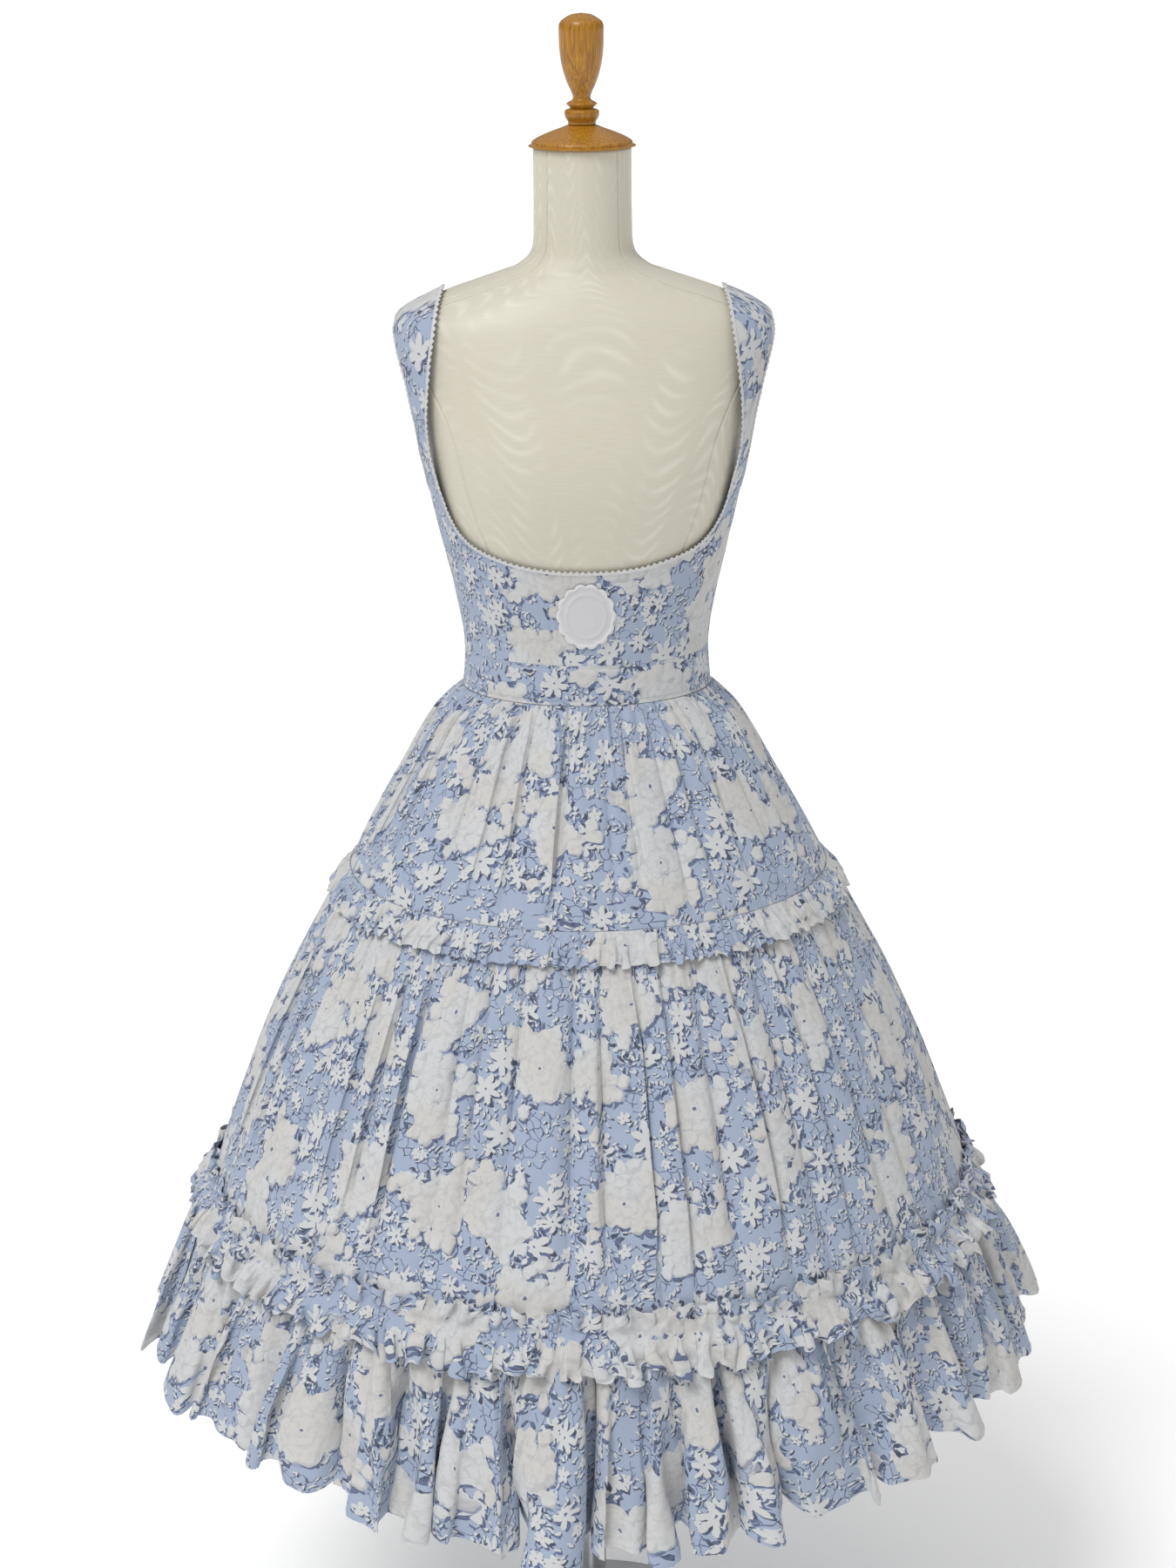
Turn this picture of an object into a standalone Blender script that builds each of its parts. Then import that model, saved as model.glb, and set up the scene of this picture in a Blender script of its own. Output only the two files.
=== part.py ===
"""A tiered cotton pinafore dress worn on a limbless dress form, at real size in metres.

The origin is on the floor under the middle of the stand. +Z is up and the front faces -Y.
Heights in the tables are counted from the seam under the waistband, up for the bodice and
the form, and down for the skirt.
"""

import bisect
import math

import bmesh
import bpy
from mathutils import Vector

# Driving dimensions
WAIST_HEIGHT = 1.10  # floor to the seam under the waistband
WAISTBAND_WIDTH = 0.040
CLOTH_WALL = 0.0015
SEAM_GAP = 0.0003
BODY_EASE = 0.0018  # air between the form and the bodice
HEM_DROP = 0.713  # waist seam to hem
UPPER_TIER_DROP = 0.185
MIDDLE_TIER_DROP = 0.518
HEM_SIDE_RISE = 0.034  # how much higher the hem swings at its sides
HEM_FOLD_HANG = 0.32  # how far a hem fold hangs down, as a share of its reach outward
FRILL_DROP = 0.027  # depth of the single frill
HEADING_RISE = 0.021  # upper flange of the double frill
FLANGE_DROP = 0.034  # lower flange of the double frill
PATCH_WIDTH = 0.056
PATCH_HEIGHT = 0.068
PATCH_CENTRE = 0.091
PATCH_WALL = 0.001
PATCH_SCALLOPS = 14
PATCH_AIR = 0.0007
POLE_RADIUS = 0.0125
BASE_RADIUS = 0.165
BASE_THICKNESS = 0.014
TORSO_COLUMNS = 40
SIDE_SEAM_TURN = math.radians(8.0)  # side seams sit this far forward of the side line

# The form: height, half width, depth in front, depth behind, squareness of the section
FORM_SECTIONS = (
    (-0.240, 0.150, 0.096, 0.106, 2.1),
    (-0.230, 0.160, 0.103, 0.114, 2.1),
    (-0.190, 0.163, 0.106, 0.118, 2.1),
    (-0.120, 0.152, 0.102, 0.110, 2.1),
    (-0.055, 0.132, 0.095, 0.098, 2.05),
    (0.000, 0.1198, 0.0922, 0.0920, 2.0),
    (0.040, 0.1170, 0.0920, 0.0915, 2.0),
    (0.090, 0.1240, 0.0965, 0.0960, 2.1),
    (0.140, 0.1345, 0.1050, 0.1020, 2.25),
    (0.180, 0.1425, 0.1170, 0.1070, 2.35),
    (0.212, 0.1480, 0.1250, 0.1110, 2.4),
    (0.240, 0.1530, 0.1270, 0.1140, 2.4),
    (0.268, 0.1600, 0.1205, 0.1150, 2.4),
    (0.300, 0.1680, 0.1090, 0.1130, 2.4),
    (0.330, 0.1750, 0.0980, 0.1080, 2.4),
    (0.351, 0.1772, 0.0895, 0.1010, 2.35),
    (0.365, 0.1715, 0.0835, 0.0940, 2.3),
    (0.376, 0.1550, 0.0780, 0.0870, 2.2),
    (0.387, 0.1310, 0.0715, 0.0790, 2.1),
    (0.396, 0.1050, 0.0650, 0.0710, 2.05),
    (0.405, 0.0790, 0.0590, 0.0640, 2.0),
    (0.414, 0.0590, 0.0540, 0.0570, 2.0),
    (0.426, 0.0490, 0.0500, 0.0520, 2.0),
    (0.455, 0.0468, 0.0475, 0.0490, 2.0),
    (0.5216, 0.0465, 0.0465, 0.0465, 2.0),
)

# The skirt without its folds: drop below the waist seam, half width, depth as a share of it
SKIRT_SECTIONS = (
    (0.000, 0.1227, 0.780),
    (0.030, 0.1490, 0.805),
    (0.092, 0.1860, 0.860),
    (0.185, 0.2390, 0.920),
    (0.316, 0.3060, 0.960),
    (0.412, 0.3480, 0.985),
    (0.518, 0.3900, 1.000),
    (0.600, 0.4130, 1.000),
    (0.708, 0.4400, 1.000),
)

# One row across half the front bodice for each pair of points: neckline half width and
# height, then the outer edge's angle round from the side seam and its height
FRONT_BODICE = (
    (0.1330, 0.3870, 0.0, 0.3660),
    (0.1365, 0.3740, 9.0, 0.3550),
    (0.1390, 0.3500, 15.0, 0.3340),
    (0.1412, 0.3220, 19.0, 0.3050),
    (0.1425, 0.2900, 19.0, 0.2760),
    (0.1415, 0.2620, 16.0, 0.2460),
    (0.1382, 0.2360, 12.0, 0.2190),
    (0.1330, 0.2080, 8.0, 0.2000),
    (0.1262, 0.1840, 8.0, 0.1560),
    (0.1170, 0.1670, 8.0, 0.1060),
    (0.1040, 0.1550, 8.0, 0.0400),
    (0.0830, 0.1455, 27.0, 0.0400),
    (0.0560, 0.1385, 48.0, 0.0400),
    (0.0280, 0.1350, 69.0, 0.0400),
    (0.0000, 0.1340, 90.0, 0.0400),
)
BACK_BODICE = (
    (0.1330, 0.3870, 0.0, 0.3660),
    (0.1365, 0.3740, 9.0, 0.3550),
    (0.1385, 0.3500, 15.0, 0.3340),
    (0.1400, 0.3200, 19.0, 0.3050),
    (0.1385, 0.2900, 19.0, 0.2760),
    (0.1340, 0.2640, 12.0, 0.2460),
    (0.1260, 0.2430, 1.0, 0.2190),
    (0.1150, 0.2270, -8.0, 0.2000),
    (0.1020, 0.2160, -8.0, 0.1560),
    (0.0880, 0.2085, -8.0, 0.1060),
    (0.0740, 0.2040, -8.0, 0.0400),
    (0.0560, 0.2000, 20.0, 0.0400),
    (0.0380, 0.1970, 48.0, 0.0400),
    (0.0190, 0.1955, 69.0, 0.0400),
    (0.0000, 0.1950, 90.0, 0.0400),
)
# How far the straps stand off the form: height, air under the cloth
STRAP_AIR = (
    (0.040, 0.0018),
    (0.150, 0.0024),
    (0.200, 0.0042),
    (0.245, 0.0075),
    (0.300, 0.0070),
    (0.340, 0.0058),
    (0.366, 0.0042),
    (0.387, 0.0028),
)

# Folds across half of each tier, from one side seam to the other: width as a share of the
# mean fold, height of the crest in millimetres
UPPER_FOLDS = (
    (0.9, 5.0), (1.2, 8.0), (0.7, 4.5), (1.3, 9.0), (1.0, 6.0), (0.8, 5.0), (1.3, 8.5),
    (1.4, 7.0), (0.7, 4.5), (1.1, 8.0), (0.8, 5.5), (1.2, 8.0), (0.9, 5.0), (1.2, 8.5),
    (0.8, 5.5), (0.7, 5.0),
)
MIDDLE_FOLDS = (
    (0.9, 7.0), (1.2, 10.0), (0.8, 6.0), (1.0, 9.0), (1.4, 8.0), (0.8, 6.5), (0.9, 9.5),
    (1.3, 11.0), (0.7, 6.0), (1.0, 8.0), (1.5, 9.0), (0.8, 10.0), (1.1, 7.0), (0.8, 9.5),
    (1.0, 7.5), (1.2, 11.0), (0.9, 8.0), (0.8, 9.0), (1.3, 12.0), (1.0, 8.0), (0.8, 7.0),
    (1.1, 10.0), (0.9, 8.0), (0.8, 7.0),
)
HEM_FOLDS = (
    (0.85, 26.0), (1.50, 36.0), (1.36, 30.0), (1.12, 34.0), (0.92, 28.0), (0.73, 22.0),
    (0.95, 30.0), (1.12, 46.0), (0.65, 22.0), (0.49, 18.0), (0.58, 24.0), (0.70, 42.0),
    (1.07, 26.0), (1.17, 34.0), (1.17, 28.0), (1.72, 38.0), (0.90, 26.0),
)
BACK_HEM_FOLDS = (
    (1.40, 54.0), (1.00, 30.0), (1.20, 36.0), (0.80, 26.0), (1.10, 34.0), (0.90, 28.0),
    (1.20, 40.0), (0.70, 24.0), (1.00, 36.0), (1.20, 30.0), (0.80, 26.0), (1.10, 40.0),
    (0.90, 28.0), (0.80, 26.0), (1.20, 38.0), (1.00, 30.0), (1.40, 54.0),
)
FRILL_WAVES = (
    (1.0, 6.0), (1.2, 9.0), (0.8, 5.0), (1.1, 8.0), (0.9, 6.0), (1.2, 9.0), (0.7, 5.0),
    (1.1, 8.0), (1.3, 7.0), (0.8, 6.0), (1.0, 9.0), (0.9, 6.0), (1.2, 8.0), (0.8, 5.0),
    (1.1, 9.0), (0.9, 6.0), (1.0, 8.0), (1.2, 7.0), (0.8, 8.0), (1.0, 6.0),
)
FLANGE_WAVES = (
    (1.0, 10.0), (0.8, 7.0), (1.3, 14.0), (0.9, 9.0), (1.1, 12.0), (0.7, 8.0), (1.2, 14.0),
    (1.0, 9.0), (0.8, 11.0), (1.3, 13.0), (0.9, 8.0), (1.0, 12.0), (1.2, 10.0), (0.8, 9.0),
    (1.1, 13.0), (0.9, 9.0), (1.2, 12.0), (0.8, 8.0), (1.0, 13.0), (1.1, 10.0), (0.8, 12.0),
    (1.0, 9.0),
)

# Share of the crest height that a fold keeps down its tier: share of the drop, fullness
UPPER_FULLNESS = ((0.0, 0.0), (0.16, 0.80), (0.50, 1.0), (0.80, 0.70), (1.0, 0.10))
MIDDLE_FULLNESS = ((0.0, 0.05), (0.16, 0.50), (0.45, 1.0), (0.62, 0.95), (1.0, 0.10))
HEM_FULLNESS = ((0.0, 0.04), (0.24, 0.30), (0.60, 0.72), (1.0, 1.0))

# Frill profiles: drop below its seam, air outside the skirt, share of the wave
FRILL_PROFILE = ((0.0, 0.0008, 0.0), (0.40, 0.0046, 0.55), (1.0, 0.0084, 1.0))
FLANGE_PROFILE = (
    (-HEADING_RISE, 0.0066, 0.60),
    (0.0, 0.0012, 0.0),
    (FLANGE_DROP * 0.45, 0.0086, 0.48),
    (FLANGE_DROP, 0.0132, 0.80),
)

# Turned wood: height above the cap's rim, radius
CAP_PROFILE = (
    (0.0165, 0.0000), (0.0165, 0.0120), (0.0140, 0.0195), (0.0100, 0.0305),
    (0.0060, 0.0400), (0.0025, 0.0462), (0.0000, 0.0480), (-0.0030, 0.0478), (-0.0030, 0.0),
)
FINIAL_PROFILE = (
    (0.1190, 0.0000), (0.1178, 0.0085), (0.1140, 0.0160), (0.1085, 0.0207),
    (0.0940, 0.0210), (0.0800, 0.0200), (0.0680, 0.0178), (0.0560, 0.0140),
    (0.0450, 0.0090), (0.0405, 0.0084), (0.0360, 0.0145), (0.0322, 0.0108),
    (0.0300, 0.0157), (0.0255, 0.0163), (0.0200, 0.0134), (0.0168, 0.0120), (0.0168, 0.0),
)
CAP_RIM = 0.5250  # height of the cap's rim above the waist seam

COTTON = ((0.66, 0.72, 0.83, 1.0), 0.85, 0.0)
PATCH_COTTON = ((0.90, 0.90, 0.90, 1.0), 0.85, 0.0)
MOIRE = ((0.80, 0.77, 0.67, 1.0), 0.45, 0.0)
BEECH = ((0.50, 0.27, 0.07, 1.0), 0.30, 0.0)
STEEL = ((0.72, 0.72, 0.72, 1.0), 0.40, 1.0)


def clear_scene():
    for old in list(bpy.data.objects):
        bpy.data.objects.remove(old, do_unlink=True)


def collection_for(name):
    made = bpy.data.collections.new(name)
    bpy.context.scene.collection.children.link(made)
    return made


def material_for(name, finish):
    colour, roughness, metallic = finish
    made = bpy.data.materials.new(name)
    made.use_nodes = True
    shader = made.node_tree.nodes["Principled BSDF"]
    shader.inputs["Base Color"].default_value = colour
    shader.inputs["Roughness"].default_value = roughness
    shader.inputs["Metallic"].default_value = metallic
    return made


def read_table(table, at):
    """The other columns at a value of the first, on a smooth curve that never overshoots."""
    keys = [row[0] for row in table]
    at = min(max(at, keys[0]), keys[-1])
    low = min(max(bisect.bisect_right(keys, at) - 1, 0), len(table) - 2)
    span = keys[low + 1] - keys[low]
    share = (at - keys[low]) / span

    def slope(index, column):
        before, after = max(index - 1, 0), min(index + 1, len(table) - 1)
        rise = table[after][column] - table[index][column]
        climb = table[index][column] - table[before][column]
        if before < index < after and rise * climb <= 0.0:
            return 0.0
        return (rise + climb) / (keys[after] - keys[before])

    found = []
    for column in range(1, len(table[0])):
        start, end = table[low][column], table[low + 1][column]
        leave, arrive = slope(low, column) * span, slope(low + 1, column) * span
        found.append(
            start * (1 + 2 * share) * (1 - share) ** 2
            + leave * share * (1 - share) ** 2
            + end * share**2 * (3 - 2 * share)
            - arrive * share**2 * (1 - share)
        )
    return found


def rounded_section(angle, half_width, front, back, squareness):
    """A point of a body section; the angle runs from +X round over the back."""
    power = 2.0 / squareness
    across, along = math.cos(angle), math.sin(angle)
    depth = back if along > 0 else front
    return (
        half_width * math.copysign(abs(across) ** power, across),
        depth * math.copysign(abs(along) ** power, along),
    )


def form_point(angle, height):
    x, y = rounded_section(angle, *read_table(FORM_SECTIONS, height))
    return Vector((x, y, height))


def form_normal(angle, height):
    small = 0.002
    low = max(height - small, FORM_SECTIONS[0][0])
    upward = form_point(angle, height + small) - form_point(angle, low)
    round_it = form_point(angle + small, height) - form_point(angle - small, height)
    return round_it.cross(upward).normalized()


def angle_at(half_width, height, side):
    """The angle from the side seam at which the form is that wide; side is 1 behind."""
    widest, _, _, squareness = read_table(FORM_SECTIONS, height)
    share = min(half_width / widest, 1.0)
    return side * math.acos(share ** (squareness / 2.0))


def skirt_point(angle, drop, outward=0.0):
    """A point of the skirt without its folds, moved outward by a length."""
    half_width, depth_share = read_table(SKIRT_SECTIONS, drop)
    x = (half_width + outward) * math.cos(angle)
    y = (half_width * depth_share + outward) * math.sin(angle)
    flare = max((drop - MIDDLE_TIER_DROP) / (HEM_DROP - MIDDLE_TIER_DROP), 0.0)
    off_centre = math.atan2(abs(math.cos(angle)), abs(math.sin(angle)))
    swing = math.sin(min(1.5 * off_centre, math.pi / 2.0)) ** 2
    return Vector((x, y, -drop + HEM_SIDE_RISE * flare * swing))


def finish_node(name, mesh_maker, material, collection):
    if mesh_maker.faces:
        bmesh.ops.recalc_face_normals(mesh_maker, faces=mesh_maker.faces)
        if mesh_maker.calc_volume(signed=True) < 0.0:
            bmesh.ops.reverse_faces(mesh_maker, faces=mesh_maker.faces)
    mesh = bpy.data.meshes.new(name)
    mesh_maker.to_mesh(mesh)
    mesh_maker.free()
    mesh.materials.append(material)
    mesh.shade_smooth()
    node = bpy.data.objects.new(name, mesh)
    node.location.z = WAIST_HEIGHT
    collection.objects.link(node)
    return node


def wall_inside(outer, columns, column, row):
    """The inner side of a folded wall: moved in level, so that its rims stay flat."""
    here = outer(column, row)
    before = (here - outer(column - 1, row)).xy if column > 0 else None
    after = (outer(column + 1, row) - here).xy if column < columns else None
    before = (before or after).normalized()
    after = (after or before).normalized()
    along = (before + after).normalized()
    inward = Vector((-along.y, along.x, 0.0))
    reach = CLOTH_WALL / max(along.dot(after), 0.7)
    return here + inward * reach


def cloth_panel(name, columns, rows, outer, inner, material, collection):
    """A closed wall over a grid; outer and inner give its two faces at (column, row)."""
    maker = bmesh.new()
    bmesh.ops.create_grid(maker, x_segments=columns, y_segments=rows, size=0.5)
    place = {}
    for vert in maker.verts:
        place[vert] = (round((vert.co.x + 0.5) * columns), round((vert.co.y + 0.5) * rows))
    front = dict(place)
    region = bmesh.ops.extrude_face_region(maker, geom=maker.faces[:])["geom"]
    back = [found for found in region if isinstance(found, bmesh.types.BMVert)]
    for vert in back:
        column = round((vert.co.x + 0.5) * columns)
        row = round((vert.co.y + 0.5) * rows)
        vert.co = inner(column, row)
    for vert, (column, row) in front.items():
        vert.co = outer(column, row)
    return finish_node(name, maker, material, collection)


def fold_columns(folds, steps, backward):
    """Places across half the skirt: share of the half, height of the cloth in metres."""
    if backward:
        folds = folds[::-1]
    total = sum(width for width, _ in folds)
    places = []
    passed = 0.0
    for width, height in folds:
        for step in range(steps):
            phase = step / steps
            lift = math.sin(math.pi * phase) ** 0.8
            places.append(((passed + width * phase) / total, (lift - 0.5) * height / 1000.0))
        passed += width
    seam_lift = -0.5 * folds[0][1] / 1000.0
    places[0] = (0.0, seam_lift)
    places.append((1.0, seam_lift))
    return places


def half_angle(share, behind):
    """Front halves run from the left side seam to the right; back halves go on from there."""
    if behind:
        return -SIDE_SEAM_TURN + (math.pi + 2.0 * SIDE_SEAM_TURN) * share
    return math.pi + SIDE_SEAM_TURN + (math.pi - 2.0 * SIDE_SEAM_TURN) * share


def seam_shift(behind):
    return Vector((0.0, SEAM_GAP / 2.0 if behind else -SEAM_GAP / 2.0, 0.0))


def tier(name, top, bottom, hang, folds, steps, fullness, rows, behind, material, collection):
    """Half of a gathered tier: folds that swell below the seam and run down the cloth."""
    places = fold_columns(folds, steps, behind)
    columns = len(places) - 1
    top += SEAM_GAP / 2.0
    bottom -= SEAM_GAP / 2.0

    def outer(column, row):
        turn, lift = places[column]
        swell = read_table(fullness, rows[row])[0]
        drop = top + (bottom - top) * rows[row]
        point = skirt_point(half_angle(turn, behind), drop, lift * swell) + seam_shift(behind)
        point.z -= hang * lift * swell * rows[row]
        return point

    cloth_panel(
        name,
        columns,
        len(rows) - 1,
        outer,
        lambda column, row: wall_inside(outer, columns, column, row),
        material,
        collection,
    )


def frill(name, seam, depth, waves, profile, behind, material, collection):
    """Half of a frill that stands off the skirt and waves more towards its free edge."""
    places = fold_columns(waves, 3, behind)
    columns = len(places) - 1

    def outer(column, row):
        fall, air, wave = profile[row]
        turn, lift = places[column]
        reach = air + lift * wave + CLOTH_WALL
        angle = half_angle(turn, behind)
        return skirt_point(angle, seam + fall * depth, reach) + seam_shift(behind)

    cloth_panel(
        name,
        columns,
        len(profile) - 1,
        outer,
        lambda column, row: wall_inside(outer, columns, column, row),
        material,
        collection,
    )


def on_form(angle, height, air):
    return form_point(angle, height) + form_normal(angle, height) * air


def bodice_half_row(table, behind, share):
    """Neckline angle and height, outer angle and height, at a share of the way down."""
    place = share * (len(table) - 1)
    numbered = [(index, *row) for index, row in enumerate(table)]
    half_width, neck_height, edge_degrees, edge_height = read_table(numbered, place)
    side = 1 if behind else -1
    neck_angle = angle_at(half_width, neck_height, side)
    if share == 0.0:
        neck_angle = 0.0
    return neck_angle, neck_height, side * math.radians(edge_degrees), edge_height


def bodice_point(table, behind, left, share, across, lift):
    """A point of the bodice: down the half by share, and across from the neckline."""
    neck_angle, neck_height, edge_angle, edge_height = bodice_half_row(table, behind, share)
    angle = neck_angle + (edge_angle - neck_angle) * across
    height = neck_height + (edge_height - neck_height) * across
    if share == 1.0:
        angle = math.pi / 2.0 if behind else -math.pi / 2.0
    air = read_table(STRAP_AIR, height)[0]
    point = on_form(angle, height, air + lift)
    if left:
        point.x = -point.x
    return point


def whole_front(material, collection):
    half_columns, rows = 30, 5

    def at(column, row, lift):
        left = column > half_columns
        share = (2 * half_columns - column if left else column) / half_columns
        height_gap = Vector((0.0, 0.0, SEAM_GAP / 2.0 if row == rows else 0.0))
        point = bodice_point(FRONT_BODICE, False, left, share, row / rows, lift)
        return point + seam_shift(False) + height_gap

    cloth_panel(
        "bodice_front",
        2 * half_columns,
        rows,
        lambda column, row: at(column, row, CLOTH_WALL),
        lambda column, row: at(column, row, 0.0),
        material,
        collection,
    )


def half_back(name, left, material, collection):
    columns, rows = 30, 5

    def at(column, row, lift):
        height_gap = Vector((0.0, 0.0, SEAM_GAP / 2.0 if row == rows else 0.0))
        centre_gap = Vector((-SEAM_GAP / 2.0 if left else SEAM_GAP / 2.0, 0.0, 0.0))
        point = bodice_point(BACK_BODICE, True, left, column / columns, row / rows, lift)
        return point + seam_shift(True) + height_gap + centre_gap

    cloth_panel(
        name,
        columns,
        rows,
        lambda column, row: at(column, row, CLOTH_WALL),
        lambda column, row: at(column, row, 0.0),
        material,
        collection,
    )


def waistband(name, start_degrees, end_degrees, columns, shift, material, collection):
    """A length of the waistband between two angles round the form."""
    rows = 2

    def at(column, row, lift):
        angle = math.radians(start_degrees + (end_degrees - start_degrees) * column / columns)
        height = SEAM_GAP / 2.0 + (WAISTBAND_WIDTH - SEAM_GAP) * row / rows
        return on_form(angle, height, BODY_EASE + lift) + shift

    cloth_panel(
        name,
        columns,
        rows,
        lambda column, row: at(column, row, CLOTH_WALL),
        lambda column, row: at(column, row, 0.0),
        material,
        collection,
    )


def patch(material, collection):
    """The round scalloped patch sewn to the middle of the bodice front."""
    maker = bmesh.new()
    segments = PATCH_SCALLOPS * 3
    bmesh.ops.create_circle(maker, cap_ends=True, segments=segments, radius=1.0)
    for _ in range(3):
        middle = max(maker.faces, key=lambda face: len(face.verts))
        bmesh.ops.inset_region(maker, faces=[middle], thickness=0.25, use_boundary=True)
    middle = max(maker.faces, key=lambda face: len(face.verts))
    bmesh.ops.poke(maker, faces=[middle])
    flat = {}
    for vert in maker.verts:
        turn = math.atan2(vert.co.y, vert.co.x)
        reach = min(vert.co.xy.length, 1.0)
        edge = 1.0 - 0.055 * (1.0 - abs(math.cos(turn * PATCH_SCALLOPS / 2.0))) * reach**6
        across = vert.co.x * edge * PATCH_WIDTH / 2.0
        height = PATCH_CENTRE + vert.co.y * edge * PATCH_HEIGHT / 2.0
        flat[vert] = (across, height)

    def lie_on_bodice(across, height, lift):
        angle = angle_at(abs(across), height, -1)
        if across < 0.0:
            angle = -math.pi - angle
        air = read_table(STRAP_AIR, height)[0] + CLOTH_WALL + PATCH_AIR
        return on_form(angle, height, air + lift) + seam_shift(False)

    for vert, (across, height) in flat.items():
        vert.co = (across, height, 0.0)
    region = bmesh.ops.extrude_face_region(maker, geom=maker.faces[:])["geom"]
    back = [found for found in region if isinstance(found, bmesh.types.BMVert)]
    for vert in back:
        vert.co = lie_on_bodice(vert.co.x, vert.co.y, 0.0)
    for vert, (across, height) in flat.items():
        vert.co = lie_on_bodice(across, height, PATCH_WALL)
    finish_node("bodice_patch", maker, material, collection)


def form_torso(material, collection):
    """The closed, smooth form: hips, waist, bust, shoulders and neck in one."""
    heights = [section[0] for section in FORM_SECTIONS]
    maker = bmesh.new()
    rings = []
    for height in heights:
        ring = []
        for column in range(TORSO_COLUMNS):
            angle = 2.0 * math.pi * column / TORSO_COLUMNS
            ring.append(maker.verts.new(form_point(angle, height)))
        rings.append(ring)
    for ring in rings:
        for first, second in zip(ring, ring[1:] + ring[:1]):
            maker.edges.new((first, second))
    for low, high in zip(rings, rings[1:]):
        low_edges = [maker.edges.get(pair) for pair in zip(low, low[1:] + low[:1])]
        high_edges = [maker.edges.get(pair) for pair in zip(high, high[1:] + high[:1])]
        bmesh.ops.bridge_loops(maker, edges=low_edges + high_edges)
    maker.faces.new(rings[0])
    maker.faces.new(rings[-1])
    finish_node("form_torso", maker, material, collection)


def turned(name, profile, base_height, steps, material, collection):
    """A piece turned about the stand's axis, from its profile run top to bottom."""
    maker = bmesh.new()
    last = None
    for height, radius in profile:
        vert = maker.verts.new((radius, 0.0, base_height + height))
        if last is not None:
            maker.edges.new((last, vert))
        last = vert
    node = finish_node(name, maker, material, collection)
    screw = node.modifiers.new("Turn", "SCREW")
    screw.axis = "Z"
    screw.steps = steps
    screw.render_steps = steps
    screw.use_merge_vertices = True
    screw.merge_threshold = 0.00001
    screw.use_smooth_shade = True


def build():
    clear_scene()
    parts = collection_for("pinafore_on_form")
    cotton = material_for("printed_cotton", COTTON)
    patch_cotton = material_for("patch_cotton", PATCH_COTTON)
    moire = material_for("moire_cover", MOIRE)
    beech = material_for("varnished_beech", BEECH)
    steel = material_for("brushed_steel", STEEL)

    form_torso(moire, parts)
    turned("neck_cap", CAP_PROFILE, CAP_RIM, 28, beech, parts)
    turned("neck_finial", FINIAL_PROFILE, CAP_RIM, 18, beech, parts)

    torso_bottom = FORM_SECTIONS[0][0]
    pole = (
        (torso_bottom - SEAM_GAP, 0.0),
        (torso_bottom - SEAM_GAP, POLE_RADIUS),
        (BASE_THICKNESS + SEAM_GAP - WAIST_HEIGHT, POLE_RADIUS),
        (BASE_THICKNESS + SEAM_GAP - WAIST_HEIGHT, 0.0),
    )
    base = (
        (BASE_THICKNESS, 0.0),
        (BASE_THICKNESS, BASE_RADIUS - 0.004),
        (BASE_THICKNESS - 0.004, BASE_RADIUS),
        (0.0, BASE_RADIUS),
        (0.0, 0.0),
    )
    turned("stand_pole", pole, 0.0, 16, steel, parts)
    turned("stand_base", base, -WAIST_HEIGHT, 36, steel, parts)

    whole_front(cotton, parts)
    half_back("bodice_back_right", False, cotton, parts)
    half_back("bodice_back_left", True, cotton, parts)
    patch(patch_cotton, parts)

    front_shift = seam_shift(False)
    right_shift = seam_shift(True) + Vector((SEAM_GAP / 2.0, 0.0, 0.0))
    left_shift = seam_shift(True) - Vector((SEAM_GAP / 2.0, 0.0, 0.0))
    seam = math.degrees(SIDE_SEAM_TURN)
    waistband("waistband_front", seam - 180.0, -seam, 24, front_shift, cotton, parts)
    waistband("waistband_back_right", -seam, 90.0, 14, right_shift, cotton, parts)
    waistband("waistband_back_left", 90.0, 180.0 + seam, 14, left_shift, cotton, parts)

    upper_rows = (0.0, 0.16, 0.50, 1.0)
    middle_rows = (0.0, 0.16, 0.62, 1.0)
    hem_rows = (0.0, 0.24, 0.60, 1.0)
    for side, behind in (("front", False), ("back", True)):
        tier(
            "tier_upper_" + side, 0.0, UPPER_TIER_DROP, 0.0,
            UPPER_FOLDS, 3, UPPER_FULLNESS, upper_rows, behind, cotton, parts,
        )
        tier(
            "tier_middle_" + side, UPPER_TIER_DROP, MIDDLE_TIER_DROP, 0.0,
            MIDDLE_FOLDS, 3, MIDDLE_FULLNESS, middle_rows, behind, cotton, parts,
        )
        tier(
            "tier_hem_" + side, MIDDLE_TIER_DROP, HEM_DROP, HEM_FOLD_HANG,
            BACK_HEM_FOLDS if behind else HEM_FOLDS, 4,
            HEM_FULLNESS, hem_rows, behind, cotton, parts,
        )
        frill(
            "frill_upper_" + side, UPPER_TIER_DROP, FRILL_DROP,
            FRILL_WAVES, FRILL_PROFILE, behind, cotton, parts,
        )
        frill(
            "frill_lower_" + side, MIDDLE_TIER_DROP, 1.0,
            FLANGE_WAVES, FLANGE_PROFILE, behind, cotton, parts,
        )


build()
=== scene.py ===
"""A tiered cotton pinafore dress on its dress form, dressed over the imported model."""

import bisect
import math

import bmesh
import bpy
from mathutils import Matrix, Vector, noise


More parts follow.
